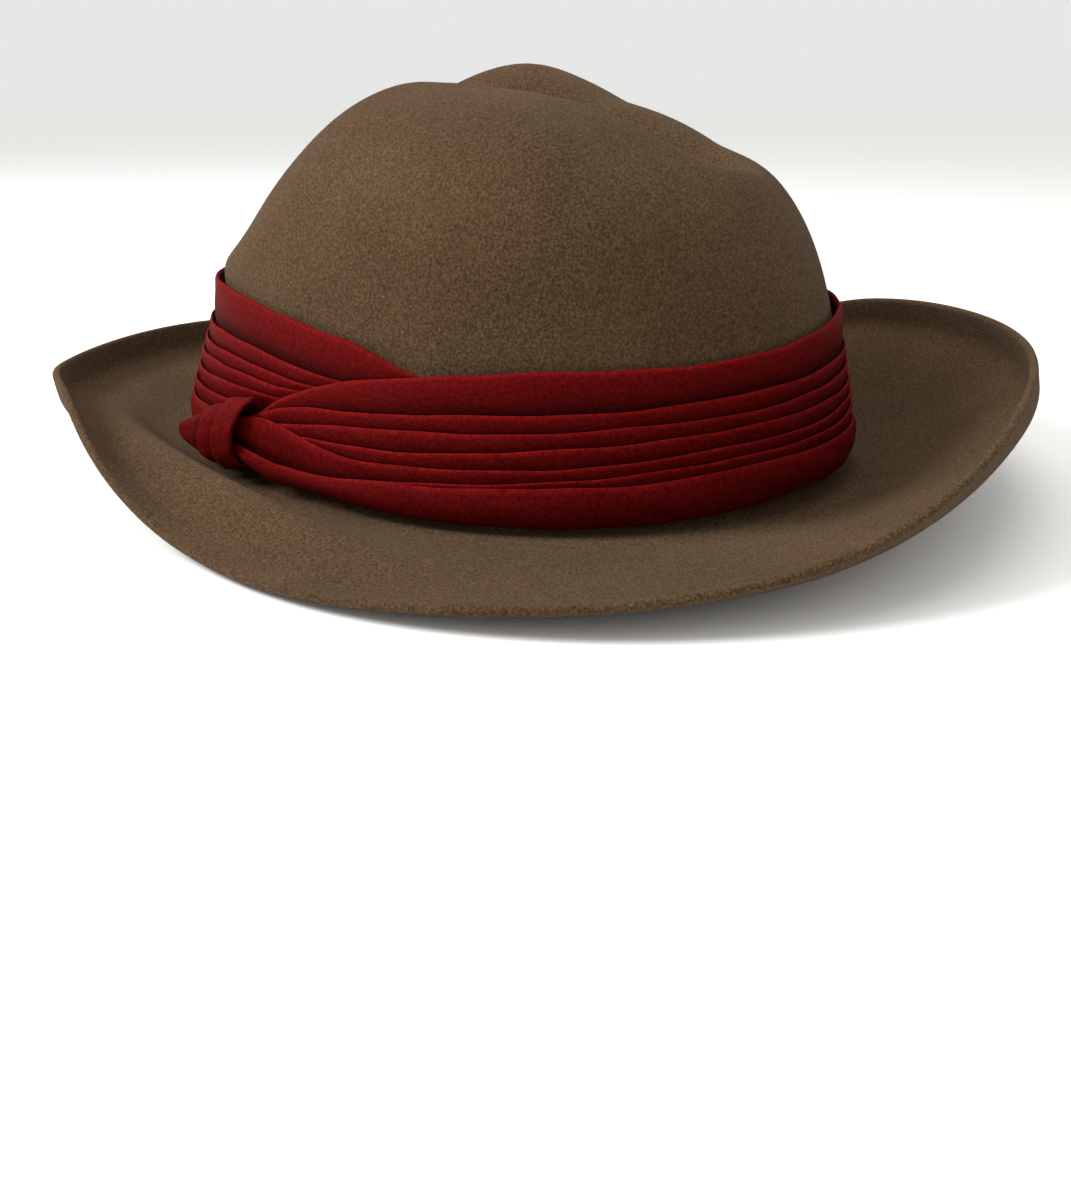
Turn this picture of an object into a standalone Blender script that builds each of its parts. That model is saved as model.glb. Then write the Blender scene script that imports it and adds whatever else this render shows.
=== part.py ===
"""Felt fedora with a pleated band: felt body, sweatband, lining, pleated band, knot and tacks.

Frame: metres, +Z up. The hat lies on its brim at Z = 0, its front faces -Y and the wearer's
left is +X. Angles round the crown are measured from the front towards the wearer's left.
"""

import math

import bmesh
import bpy
import numpy as np
from mathutils import Matrix, Vector

# --- driving dimensions ---------------------------------------------------------------------
HEAD_LENGTH = 0.2078        # inside of the felt at the crown's base, front to back
HEAD_WIDTH = 0.1758         # inside of the felt at the crown's base, side to side
FELT = 0.0024               # felt thickness
BREAK_RADIUS = 0.004        # bend between crown and brim
LIP_CUT = 0.010             # turned-up lip, along the felt
CROWN_HEIGHT = 0.1150       # open crown above the table, halfway along
GAP = 0.0003                # air kept between touching pieces
SWEATBAND = 0.0012          # sweatband thickness
SWEATBAND_TOP = 0.036
REED_RADIUS = 0.0008
LINING = 0.0005
LINING_HEIGHT = 0.082
STAY = 0.0006               # stiff ribbon under the pleats
PLEATS = 0.0034             # thickness of the pleated band
KNOT_ANGLE = math.radians(70)
TACKS = 8

HALF_LENGTH = HEAD_LENGTH / 2 + FELT
HALF_WIDTH = HEAD_WIDTH / 2 + FELT
TURN = 64                   # points round the hat

# Compass tables: front, then every 30 degrees round by the wearer's left, back and right.
# Heights of the brim's top over the table, a third and two thirds of the way out and at the lip.
INNER_HEIGHT = (0.006, 0.007, 0.009, 0.007, 0.004, 0.004, 0.007, 0.010, 0.008, 0.005, 0.003, 0.004)
MIDDLE_HEIGHT = (0.011, 0.014, 0.020, 0.016, 0.005, 0.006, 0.017, 0.023, 0.020, 0.009, 0.004, 0.006)
EDGE_HEIGHT = (0.015, 0.017, 0.022, 0.008, 0.005, 0.010, 0.029, 0.035, 0.030, 0.011, 0.005, 0.008)
BRIM_CUT = (0.046, 0.046, 0.043, 0.041, 0.047, 0.051, 0.055, 0.057, 0.054, 0.050, 0.047, 0.046)
LIP_TURN = (68, 70, 65, 35, 15, 25, 50, 70, 74, 68, 55, 62)


def clear_scene():
    for thing in list(bpy.data.objects):
        bpy.data.objects.remove(thing, do_unlink=True)


def material(name, colour, roughness):
    made = bpy.data.materials.new(name)
    made.use_nodes = True
    shader = made.node_tree.nodes["Principled BSDF"]
    shader.inputs["Base Color"].default_value = (*colour, 1.0)
    shader.inputs["Roughness"].default_value = roughness
    shader.inputs["Metallic"].default_value = 0.0
    return made


def add_mesh(name, points, faces, finish):
    mesh = bpy.data.meshes.new(name)
    mesh.from_pydata([tuple(map(float, p)) for p in points], [], faces)
    mesh.materials.append(finish)
    mesh.shade_smooth()
    mesh.set_sharp_from_angle(angle=math.radians(40))
    made = bpy.data.objects.new(name, mesh)
    bpy.context.scene.collection.objects.link(made)
    return made


def smooth(low, high, value):
    """0 below low, 1 above high, and a smooth step between."""
    part = np.clip((value - low) / (high - low), 0.0, 1.0)
    return part * part * (3 - 2 * part)


def around(table, theta):
    """A compass table read at any angle, on a smooth closed curve."""
    place = np.asarray(theta) / (2 * np.pi) * len(table)
    first = np.floor(place).astype(int)
    part = place - first
    p0, p1, p2, p3 = (np.take(table, first + k, mode="wrap") for k in (-1, 0, 1, 2))
    slope1, slope2 = (p2 - p0) / 2, (p3 - p1) / 2
    a = 2 * p1 - 2 * p2 + slope1 + slope2
    b = 3 * (p2 - p1) - 2 * slope1 - slope2
    return ((a * part + b) * part + slope1) * part + p1


def direction(theta):
    return np.sin(theta), -np.cos(theta)


def oval(theta, outset=0.0):
    """Distance from the centre to the felt's outer oval at the headline, moved out by outset."""
    x, y = direction(theta)
    return 1 / np.sqrt((x / (HALF_WIDTH + outset)) ** 2 + (y / (HALF_LENGTH + outset)) ** 2)


# --- felt body: crown and brim blocked from one felt hood ------------------------------------
BREAK_BOTTOM = 0.0019       # where the bend would end, before the table flattens it
CROWN_BASE = BREAK_BOTTOM + BREAK_RADIUS
CROWN_POWER = 3.6           # squareness of the crown's side view
TAPER = 0.95                # narrowing of the crown, per metre of height
TOP_SLOPE = 0.10            # fall of the crown towards the back
TWIST = 2.1                 # one ridge over the other, front against back, per metre
FRONT_FALL = 0.018          # how much lower the front of the top lies
FRONT_NARROWING = 0.02      # how much narrower the top is at its front
LEFT_LOWER = 0.0024         # how much lower the left ridge lies than the right
SHOULDER_FALL = 0.006       # further fall of the left front shoulder
FULL_CORNER = 0.100         # how much fuller the left of the front stands, above the band
FULL_ANGLE, FULL_SPREAD = 0.75, 0.13
RIGHT_FALL = 0.005          # fall of the right ridge behind its peak
DENT_DEPTH = 0.024          # of the lengthwise crease in the top
DENT_HALF_WIDTH = 0.016
PINCH_DEPTH = 0.006         # of the finger pinch on each side of the front
CROWN_ROWS = 16
BRIM_SHARES = (0.5, 1, 1.25, 1.45, 1.6, 1.75, 1.9, 2, 2.5, 3)


def crown_height(y):
    """Height of the open crown over the table, which falls from front to back."""
    return CROWN_HEIGHT - TOP_SLOPE * y


def crown_rows(rows):
    """(reach, rise) of the open crown's profile from its centre to its base, evenly spaced."""
    turn = np.linspace(np.pi / 2, 0, 2000)
    reach = np.cos(turn) ** (2 / CROWN_POWER)
    rise = np.sin(turn) ** (2 / CROWN_POWER)
    length = np.concatenate([[0], np.cumsum(np.hypot(np.diff(reach), np.diff(rise)))])
    even = np.linspace(0, length[-1], rows + 1)[1:]
    return np.interp(even, length, reach), np.interp(even, length, rise)


def fullness(theta, z):
    """How much fuller than the oval the crown stands at the left of its front."""
    return 1 + FULL_CORNER * np.exp((np.cos(theta - FULL_ANGLE) - 1) / FULL_SPREAD) * smooth(0.048, 0.092, z)


def crown_point(theta, reach, rise):
    """A point of the crown's outer side: the open crown, then its taper, pinches and dent."""
    ux, uy = direction(theta)
    x, y = oval(theta) * reach * ux, oval(theta) * reach * uy
    z = CROWN_BASE + rise * (crown_height(y) - CROWN_BASE)
    narrow = fullness(theta, z) - TAPER * np.maximum(z - CROWN_BASE, 0)
    x, y = x * narrow, y * narrow
    z = z - FRONT_FALL * smooth(0.01, 0.10, -y) * smooth(0.05, 0.10, z)
    x = x * (1 - FRONT_NARROWING * smooth(0.02, 0.10, -y) * smooth(0.05, 0.10, z))
    pinch = PINCH_DEPTH * np.exp(-(((y + 0.078) / 0.020) ** 2) - ((z - 0.084) / 0.017) ** 2)
    x = x - np.sign(x) * pinch * smooth(0.0, 0.03, np.abs(x))
    high = smooth(0.04, 0.10, z)
    z = z + TWIST * x * (y - 0.015) * high
    z = z - (LEFT_LOWER + SHOULDER_FALL * smooth(0.015, 0.060, -y)) * smooth(0.0, 0.03, x) * high
    behind_peak = smooth(-0.015, 0.020, y) * (1 - smooth(0.050, 0.078, y))
    z = z - RIGHT_FALL * behind_peak * smooth(0.0, 0.03, -x) * high
    along = smooth(-0.098, -0.055, y) * (1 - smooth(0.052, 0.084, y))
    z = z - DENT_DEPTH * along * np.exp(-np.abs(x / DENT_HALF_WIDTH) ** 2.4)
    return np.stack([x, y, z], -1)


def brim_rows(theta, shares):
    """Rows on the brim's top: shares 0 to 1 are the bend, 1 to 2 the brim, 2 to 3 the lip."""
    ux, uy = direction(theta)
    bend = BREAK_RADIUS * np.pi / 2
    cut = around(BRIM_CUT, theta)
    third = cut / 3
    heights = [np.full(len(theta), BREAK_BOTTOM)]
    heights += [around(table, theta) for table in (INNER_HEIGHT, MIDDLE_HEIGHT, EDGE_HEIGHT)]
    inner, middle, outer = (np.arcsin((high - low) / third) for low, high in zip(heights, heights[1:]))
    fine = np.linspace(0, 1, 600)[:, None] * (bend + cut + LIP_CUT)
    slope = -np.pi / 2 * (1 - np.minimum(fine / bend, 1))
    slope = slope + inner * smooth(bend, bend + 0.7 * third, fine)
    slope = slope + (middle - inner) * smooth(bend + 0.6 * third, bend + 1.4 * third, fine)
    slope = slope + (outer - middle) * smooth(bend + 1.6 * third, bend + 2.4 * third, fine)
    lip_start, lip_end = bend + cut - 0.0015, bend + cut + 0.0045
    slope = slope + np.radians(around(LIP_TURN, theta)) * smooth(lip_start, lip_end, fine)
    step = fine[1] - fine[0]
    out = np.cumsum(np.cos(slope), 0) * step
    up = np.cumsum(np.sin(slope), 0) * step
    columns = np.arange(len(theta))
    rows = []
    for share in shares:
        at = bend * min(share, 1) + cut * np.clip(share - 1, 0, 1) + LIP_CUT * np.clip(share - 2, 0, 1)
        row = np.minimum(np.round(at / step).astype(int), len(fine) - 1)
        reach = oval(theta) + out[row, columns]
        z = np.maximum(CROWN_BASE + up[row, columns], FELT)
        rows.append(np.stack([reach * ux, reach * uy, z], -1))
    return rows


def felt_body(finish):
    theta = np.arange(TURN) * 2 * np.pi / TURN
    reach, rise = crown_rows(CROWN_ROWS)
    rows = [crown_point(theta, *pair) for pair in zip(reach, rise)] + brim_rows(theta, BRIM_SHARES)
    points = [crown_point(np.zeros(1), 0.0, 1.0)[0]] + [point for row in rows for point in row]
    faces = [(0, 1 + k, 1 + (k + 1) % TURN) for k in range(TURN)]
    for first in range(1, 1 + (len(rows) - 1) * TURN, TURN):
        for k in range(TURN):
            a, b = first + k, first + (k + 1) % TURN
            faces.append((a, a + TURN, b + TURN, b))
    made = add_mesh("felt_body", points, faces, finish)
    shell = made.modifiers.new("felt thickness", "SOLIDIFY")
    shell.thickness = FELT
    shell.offset = -1


# --- rings that follow the crown's wall --------------------------------------------------------
def wall(theta, z, outset):
    """A point at a height on the crown's wall, moved out by outset, or in where it is negative."""
    ux, uy = direction(theta)
    rise = np.clip((z - CROWN_BASE) / (CROWN_HEIGHT - CROWN_BASE), 0, 1)
    narrow = (1 - rise**CROWN_POWER) ** (1 / CROWN_POWER)
    narrow = narrow * (fullness(theta, z) - TAPER * np.maximum(z - CROWN_BASE, 0))
    radius = oval(theta) * narrow + outset
    return np.stack([radius * ux, radius * uy, z + 0 * radius], -1)


def tube_faces(stations, count, closed):
    """Faces of a swept section: quads between stations, and two caps on an open one."""
    faces = []
    for s in range(stations if closed else stations - 1):
        here, there = s * count, (s + 1) % stations * count
        for k in range(count):
            faces.append((here + k, here + (k + 1) % count, there + (k + 1) % count, there + k))
    if not closed:
        faces.append(tuple(reversed(range(count))))
        faces.append(tuple(range((stations - 1) * count, stations * count)))
    return faces


def ring(name, section, finish, count=TURN):
    """A closed ring on the crown's wall from one section of (height, outset), clockwise from outside."""
    theta = np.arange(count) * 2 * np.pi / count
    rows = np.stack([wall(theta, z, outset) for z, outset in section], 1)
    add_mesh(name, rows.reshape(-1, 3), tube_faces(count, len(section), True), finish)


def strip(bottom, top, inner, outer):
    return [(bottom, inner), (top, inner), (top, outer), (bottom, outer)]


# --- inside: reed, sweatband, its bow and label, lining -----------------------------------------
SWEAT_OUTER = -FELT - 6 * GAP
SWEAT_INNER = SWEAT_OUTER - SWEATBAND
SWEAT_BOTTOM = 0.0045


def sweatband(leather, reed_finish):
    ring("sweatband", strip(SWEAT_BOTTOM, SWEATBAND_TOP, SWEAT_INNER, SWEAT_OUTER), leather)
    middle = (SWEAT_INNER + SWEAT_OUTER) / 2
    section = []
    for k in range(6):
        turn = -2 * math.pi * k / 6
        z = SWEAT_BOTTOM - GAP - REED_RADIUS * (1 - math.sin(turn))
        section.append((z, middle + REED_RADIUS * math.cos(turn)))
    ring("sweatband_reed", section, reed_finish)


def plate(name, outline, thickness, place, finish):
    """A flat outline in X and Z, thickened along +Y and put in place."""
    mesh = bpy.data.meshes.new(name)
    shape = bmesh.new()
    shape.faces.new([shape.verts.new((x, 0, z)) for x, z in outline])
    moved = bmesh.ops.extrude_face_region(shape, geom=shape.faces[:])["geom"]
    corners = [item for item in moved if isinstance(item, bmesh.types.BMVert)]
    bmesh.ops.translate(shape, vec=(0, thickness, 0), verts=corners)
    bmesh.ops.recalc_face_normals(shape, faces=shape.faces)
    shape.to_mesh(mesh)
    shape.free()
    mesh.materials.append(finish)
    made = bpy.data.objects.new(name, mesh)
    made.location = place
    bpy.context.scene.collection.objects.link(made)


def back_place(half_width, z, half_height, thickness):
    """Where a flat plate stands just clear of the sweatband's curved and leaning back."""
    top = wall(np.array([math.pi]), z + half_height, SWEAT_INNER)[0][1]
    curve = half_width**2 / (2 * HALF_WIDTH**2 / HALF_LENGTH)
    return (0, top - curve - 2 * GAP - thickness, z)


def sweatband_trim(ribbon, label_finish):
    """A flat ribbon bow over the sweatband's back seam, and a blank label beside it."""
    half = [(0.0000, 0.0024), (0.0022, 0.0018), (0.0090, 0.0046), (0.0105, 0.0000)]
    right = half + [(x, -z) for x, z in half[-2::-1]]
    outline = right + [(-x, z) for x, z in right[-2:0:-1]]
    plate("sweatband_bow", outline, 0.0012, back_place(0.0105, 0.026, 0.0046, 0.0012), ribbon)
    label = [(-0.010, -0.006), (0.010, -0.006), (0.010, 0.006), (-0.010, 0.006)]
    plate("size_label", label, 0.0004, back_place(0.010, 0.013, 0.006, 0.0004), label_finish)


LINING_BOTTOM = 0.012
LINING_SEAM = 0.0745        # height where the side panel meets the tip


def dome(theta, z, outset):
    """A point of the lining: against the felt behind the sweatband, then a free dome above it."""
    ux, uy = direction(theta)
    start = SWEATBAND_TOP + 4 * GAP
    share = np.clip((z - start) / (LINING_HEIGHT - start), 0, 1)
    taper = 1 - TAPER * (z - CROWN_BASE)
    against = oval(theta) * taper - FELT - 2 * GAP - LINING
    radius = against * (1 - share**2.6) ** (1 / 2.6) - 0.003 * share + outset
    return np.stack([radius * ux, radius * uy, z + outset * share + 0 * radius], -1)


def lining(satin):
    """A satin side panel and an oval tip, hanging clear of the dent and the pinches."""
    count = TURN
    theta = np.arange(count) * 2 * np.pi / count
    heights = (LINING_BOTTOM, SWEATBAND_TOP, 0.048, 0.058, 0.067, LINING_SEAM)
    section = [(z, 0.0) for z in heights] + [(z, LINING) for z in heights[::-1]]
    rows = np.stack([dome(theta, z, outset) for z, outset in section], 1)
    add_mesh("lining_sides", rows.reshape(-1, 3), tube_faces(count, len(section), True), satin)

    heights = (LINING_SEAM + 0.0006, 0.0780, 0.0805, 0.0816)
    layers = [dome(theta, z, outset) for outset in (0.0, LINING) for z in heights]
    points = [point for row in layers for point in row]
    under_centre, over_centre = len(points), len(points) + 1
    points += [(0, 0, LINING_HEIGHT), (0, 0, LINING_HEIGHT + LINING)]
    faces = []
    for k in range(count):
        n = (k + 1) % count
        for r in range(len(heights) - 1):
            a, b = r * count, (r + 1) * count
            faces.append((a + k, b + k, b + n, a + n))
            a, b = (len(heights) + r) * count, (len(heights) + r + 1) * count
            faces.append((a + n, b + n, b + k, a + k))
        under, over = (len(heights) - 1) * count, (2 * len(heights) - 1) * count
        faces.append((under + k, under_centre, under + n))
        faces.append((over + n, over_centre, over + k))
        outer = len(heights) * count
        faces.append((k, n, outer + n, outer + k))
    add_mesh("lining_tip", points, faces, satin)


# --- outside: stay ribbon, pleated band, knot, tail and tacks -------------------------------------
# The band is one strip. It starts in the knot, goes round by the back and the far side, and ends
# under its own start. Stations: degrees, lower edge, upper edge.
BAND_STATIONS = (
    (77, 0.0100, 0.0260), (88, 0.0062, 0.0330), (100, 0.0055, 0.0385), (114, 0.0055, 0.0425),
    (138, 0.0052, 0.0445), (165, 0.0056, 0.0455), (185, 0.0070, 0.0510), (230, 0.0080, 0.0530),
    (330, 0.0080, 0.0550), (420, 0.0085, 0.0560), (446, 0.0110, 0.0525), (458, 0.0160, 0.0495),
    (472, 0.0240, 0.0445),
)
UNDER_LAYER = 0.0015        # thickness of the strip where it lies under its own start
FLARE = 0.004               # how far the lower edge stands off in front of the knot


def pleated_band(cloth):
    degrees = np.arange(77, 473, 5.0)
    at, low, high = (np.array(column) for column in zip(*BAND_STATIONS))
    stay_out = 2 * GAP + STAY
    rows = []
    for degree in degrees:
        theta = np.array([math.radians(degree)])
        bottom, top = np.interp(degree, at, low), np.interp(degree, at, high)
        lifted = (UNDER_LAYER + GAP) * (1 - smooth(118, 150, degree))
        inner = stay_out + GAP + lifted
        thick = PLEATS + (UNDER_LAYER - PLEATS) * smooth(420, 434, degree)
        middle = (bottom + top) / 2
        thick = thick + FLARE * np.exp((np.cos(theta[0] - 0.78) - 1) / 0.10)
        edge = inner + 0.6 * thick
        section = [(bottom, inner), (middle, inner), (top, inner), (top, inner + 0.0012)]
        section += [(top - 0.3 * (top - middle), inner + 0.5 * thick)]
        section += [(bottom + 0.3 * (middle - bottom), inner + thick), (bottom, edge)]
        rows.append(np.concatenate([wall(theta, z, outset) for z, outset in section]))
    faces = tube_faces(len(rows), len(section), False)
    add_mesh("pleated_band", np.concatenate(rows), faces, cloth)


def rounded(name, half_size, place, tilt, squeeze, finish):
    """A smooth lump with half sizes along the crown, out from it and up, tapered by squeeze."""
    mesh = bpy.data.meshes.new(name)
    shape = bmesh.new()
    bmesh.ops.create_uvsphere(shape, u_segments=14, v_segments=10, radius=1.0)
    for vert in shape.verts:
        taper = 1 - squeeze * (0.5 - 0.5 * vert.co.x)
        along_size, out_size, up_size = half_size[0], half_size[1] * taper, half_size[2] * taper
        vert.co = Vector((vert.co.x * along_size, vert.co.y * out_size, vert.co.z * up_size))
    along, out, up = place
    centre = wall(np.array([KNOT_ANGLE]), 0.018, out)[0]
    tangent = Vector((math.cos(KNOT_ANGLE), math.sin(KNOT_ANGLE), 0))
    outward = Vector((math.sin(KNOT_ANGLE), -math.cos(KNOT_ANGLE), 0))
    basis = Matrix((tangent, outward, Vector((0, 0, 1)))).transposed().to_4x4()
    turn = Matrix.Rotation(tilt, 4, "Y")
    middle = Vector(centre) + tangent * along + Vector((0, 0, up))
    shape.transform(Matrix.Translation(middle) @ basis @ turn)
    bmesh.ops.recalc_face_normals(shape, faces=shape.faces)
    shape.to_mesh(mesh)
    shape.free()
    mesh.materials.append(finish)
    mesh.shade_smooth()
    made = bpy.data.objects.new(name, mesh)
    bpy.context.scene.collection.objects.link(made)


def knot(cloth):
    rounded("knot_wrap", (0.0085, 0.0055, 0.0140), (0.000, 0.0112, 0.002), math.radians(20), 0.0, cloth)
    rounded("knot_tail", (0.0120, 0.0045, 0.0080), (-0.0220, 0.0138, -0.004), 0.0, 0.35, cloth)


TACK_LENGTH, TACK_HEIGHT, TACK_OUTSET = 0.003, 0.0036, 0.0024
TACK_RADIUS = 0.0003
FIRST_TACK_DEGREES = 95


def tacks(thread):
    """Short stitches in the crook under the band's lower edge, which hold it to the felt."""
    for number in range(TACKS):
        theta = math.radians(FIRST_TACK_DEGREES + 320 / TACKS * number)
        turn = TACK_LENGTH / 2 / oval(theta)
        foot = wall(np.array([theta - turn]), TACK_HEIGHT, TACK_OUTSET)[0]
        head = wall(np.array([theta + turn]), TACK_HEIGHT, TACK_OUTSET)[0]
        curve = bpy.data.curves.new(f"band_tack_{number + 1}", "CURVE")
        curve.dimensions = "3D"
        curve.bevel_depth = TACK_RADIUS
        curve.bevel_resolution = 1
        curve.use_fill_caps = True
        line = curve.splines.new("POLY")
        line.points.add(1)
        line.points[0].co = (*foot, 1)
        line.points[1].co = (*head, 1)
        curve.materials.append(thread)
        made = bpy.data.objects.new(f"band_tack_{number + 1}", curve)
        bpy.context.scene.collection.objects.link(made)


# --- assembly ----------------------------------------------------------------------------------------
def centre_on_box(name):
    """Hang everything on one empty, moved so that the felt's box is centred over the origin."""
    bpy.context.view_layer.update()
    graph = bpy.context.evaluated_depsgraph_get()
    evaluated = bpy.data.objects["felt_body"].evaluated_get(graph)
    corners = np.array([corner[:] for corner in evaluated.bound_box])
    middle = (corners.min(axis=0) + corners.max(axis=0)) / 2
    hat = bpy.data.objects.new(name, None)
    hat.location = (-middle[0], -middle[1], 0)
    for piece in list(bpy.context.scene.collection.objects):
        piece.parent = hat
    bpy.context.scene.collection.objects.link(hat)


clear_scene()
felt = material("wool felt", (0.13, 0.085, 0.062), 0.95)
leather = material("sweatband leather", (0.10, 0.045, 0.022), 0.55)
plastic = material("reed plastic", (0.55, 0.50, 0.42), 0.5)
ribbon = material("stay ribbon", (0.10, 0.008, 0.010), 0.8)
satin = material("lining satin", (0.16, 0.10, 0.07), 0.35)
label_cloth = material("label cloth", (0.75, 0.70, 0.62), 0.8)
crepe = material("burgundy crepe", (0.16, 0.006, 0.010), 0.8)
thread = material("burgundy thread", (0.12, 0.004, 0.008), 0.6)

felt_body(felt)
sweatband(leather, plastic)
sweatband_trim(ribbon, label_cloth)
lining(satin)
ring("band_stay", strip(0.0075, 0.0400, GAP, GAP + STAY), ribbon)
pleated_band(crepe)
knot(crepe)
tacks(thread)
centre_on_box("hat")
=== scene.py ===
"""Felt fedora with a pleated crepe band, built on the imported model, in its frame and in metres.

The front of the hat faces -Y and the wearer's left is +X. Angles round the crown are measured
from the front towards the wearer's left.
"""

import math

import bmesh
import bpy
import numpy as np
from mathutils import Matrix, Vector


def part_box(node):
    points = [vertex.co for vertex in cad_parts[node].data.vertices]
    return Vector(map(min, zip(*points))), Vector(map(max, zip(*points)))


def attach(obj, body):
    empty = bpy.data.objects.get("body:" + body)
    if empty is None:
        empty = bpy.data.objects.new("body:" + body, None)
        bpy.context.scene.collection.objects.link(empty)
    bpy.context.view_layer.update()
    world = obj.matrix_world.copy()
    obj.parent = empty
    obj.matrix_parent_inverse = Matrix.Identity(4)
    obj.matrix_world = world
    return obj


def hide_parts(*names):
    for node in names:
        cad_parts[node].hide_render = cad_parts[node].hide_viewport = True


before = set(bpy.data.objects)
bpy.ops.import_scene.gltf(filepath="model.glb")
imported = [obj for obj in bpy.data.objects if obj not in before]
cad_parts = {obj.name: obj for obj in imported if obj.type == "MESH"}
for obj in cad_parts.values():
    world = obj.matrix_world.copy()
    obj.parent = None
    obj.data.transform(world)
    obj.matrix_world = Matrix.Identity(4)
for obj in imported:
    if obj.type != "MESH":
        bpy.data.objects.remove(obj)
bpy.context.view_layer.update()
tip_low, tip_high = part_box("lining_tip")
MIDDLE = np.array([(tip_low.x + tip_high.x) / 2, (tip_low.y + tip_high.y) / 2, 0.0])   # of the crown

# --- felt body ------------------------------------------------------------------------------------
# The crown and the brim, one wool felt hood blocked over a wooden form. The edge is cut raw and
# turned up into a lip. It is one closed shell, laid out in rows from the crown's middle outwards.
FELT = 0.0024
HALF_LENGTH, HALF_WIDTH = 0.2078 / 2 + FELT, 0.1758 / 2 + FELT     # outside of the felt at the headline
BREAK_RADIUS, BREAK_BOTTOM = 0.004, 0.0019
CROWN_BASE = BREAK_BOTTOM + BREAK_RADIUS
CROWN_HEIGHT, TOP_SLOPE, CROWN_POWER, TAPER = 0.1150, 0.10, 3.6, 0.95
TWIST, FRONT_FALL, FRONT_NARROWING = 2.1, 0.018, 0.02
LEFT_LOWER, SHOULDER_FALL, RIGHT_FALL, FULL_CORNER = 0.0024, 0.006, 0.005, 0.100
DENT_DEPTH, DENT_HALF_WIDTH, PINCH_DEPTH = 0.024, 0.016, 0.006
LIP_CUT = 0.010
FELT_COLUMNS, CROWN_ROWS, RIM_ROWS = 288, 72, 6
BEND_ROWS, BRIM_ROWS, LIP_ROWS = 8, 36, 15
UNEVENNESS = 0.00022         # the hand of the blocker: the felt is never perfectly even
FULL_ANGLE, FULL_SPREAD = 0.75, 0.13       # where the front's left corner is fullest, and how widely
# Brim tables: front, then every 30 degrees round by the wearer's left, back and right.
INNER_HEIGHT = (0.006, 0.007, 0.009, 0.007, 0.004, 0.004, 0.007, 0.010, 0.008, 0.005, 0.003, 0.004)
MIDDLE_HEIGHT = (0.011, 0.014, 0.020, 0.016, 0.005, 0.006, 0.017, 0.023, 0.020, 0.009, 0.004, 0.006)
EDGE_HEIGHT = (0.015, 0.017, 0.022, 0.008, 0.005, 0.010, 0.029, 0.035, 0.030, 0.011, 0.005, 0.008)
BRIM_CUT = (0.046, 0.046, 0.043, 0.041, 0.047, 0.051, 0.055, 0.057, 0.054, 0.050, 0.047, 0.046)
LIP_TURN = (68, 70, 65, 35, 15, 25, 50, 70, 74, 68, 55, 62)


def smooth(low, high, value):
    """0 below low, 1 above high, and a smooth step between."""
    part = np.clip((value - low) / (high - low), 0.0, 1.0)
    return part * part * (3 - 2 * part)


def around(table, theta):
    """A brim table read at any angle, on a smooth closed curve."""
    place = np.asarray(theta) / (2 * np.pi) * len(table)
    first = np.floor(place).astype(int)
    part = place - first
    p0, p1, p2, p3 = (np.take(table, first + k, mode="wrap") for k in (-1, 0, 1, 2))
    slope1, slope2 = (p2 - p0) / 2, (p3 - p1) / 2
    a = 2 * p1 - 2 * p2 + slope1 + slope2
    b = 3 * (p2 - p1) - 2 * slope1 - slope2
    return ((a * part + b) * part + slope1) * part + p1


def oval(theta):
    """Distance from the middle to the felt's outer oval at the headline."""
    return 1 / np.sqrt((np.sin(theta) / HALF_WIDTH) ** 2 + (np.cos(theta) / HALF_LENGTH) ** 2)


def crown_rows(rows):
    """(reach, rise) of the open crown's side view from its middle to its base, evenly spaced."""
    turn = np.linspace(np.pi / 2, 0, 4000)
    reach, rise = np.cos(turn) ** (2 / CROWN_POWER), np.sin(turn) ** (2 / CROWN_POWER)
    length = np.concatenate([[0], np.cumsum(np.hypot(np.diff(reach), np.diff(rise)))])
    even = np.linspace(0, length[-1], rows + 1)[1:]
    return np.interp(even, length, reach), np.interp(even, length, rise)


def fullness(theta, z):
    """How much fuller than the oval the crown stands at the left of its front."""
    return 1 + FULL_CORNER * np.exp((np.cos(theta - FULL_ANGLE) - 1) / FULL_SPREAD) * smooth(0.048, 0.092, z)


def crown_point(theta, reach, rise):
    """A point of the crown's outer side: the open crown, then its taper, pinches and dent."""
    x, y = oval(theta) * reach * np.sin(theta), -oval(theta) * reach * np.cos(theta)
    z = CROWN_BASE + rise * (CROWN_HEIGHT - TOP_SLOPE * y - CROWN_BASE)
    narrow = fullness(theta, z) - TAPER * np.maximum(z - CROWN_BASE, 0)
    x, y = x * narrow, y * narrow
    z = z - FRONT_FALL * smooth(0.01, 0.10, -y) * smooth(0.05, 0.10, z)
    x = x * (1 - FRONT_NARROWING * smooth(0.02, 0.10, -y) * smooth(0.05, 0.10, z))
    pinch = PINCH_DEPTH * np.exp(-(((y + 0.078) / 0.020) ** 2) - ((z - 0.084) / 0.017) ** 2)
    x = x - np.sign(x) * pinch * smooth(0.0, 0.03, np.abs(x))
    high = smooth(0.04, 0.10, z)
    z = z + TWIST * x * (y - 0.015) * high
    z = z - (LEFT_LOWER + SHOULDER_FALL * smooth(0.015, 0.060, -y)) * smooth(0.0, 0.03, x) * high
    right_side = smooth(-0.015, 0.020, y) * (1 - smooth(0.050, 0.078, y)) * smooth(0.0, 0.03, -x)
    z = z - RIGHT_FALL * right_side * high
    along = smooth(-0.098, -0.055, y) * (1 - smooth(0.052, 0.084, y))
    z = z - DENT_DEPTH * along * np.exp(-np.abs(x / DENT_HALF_WIDTH) ** 2.4)
    return np.stack([x, y, z], -1)


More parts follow.
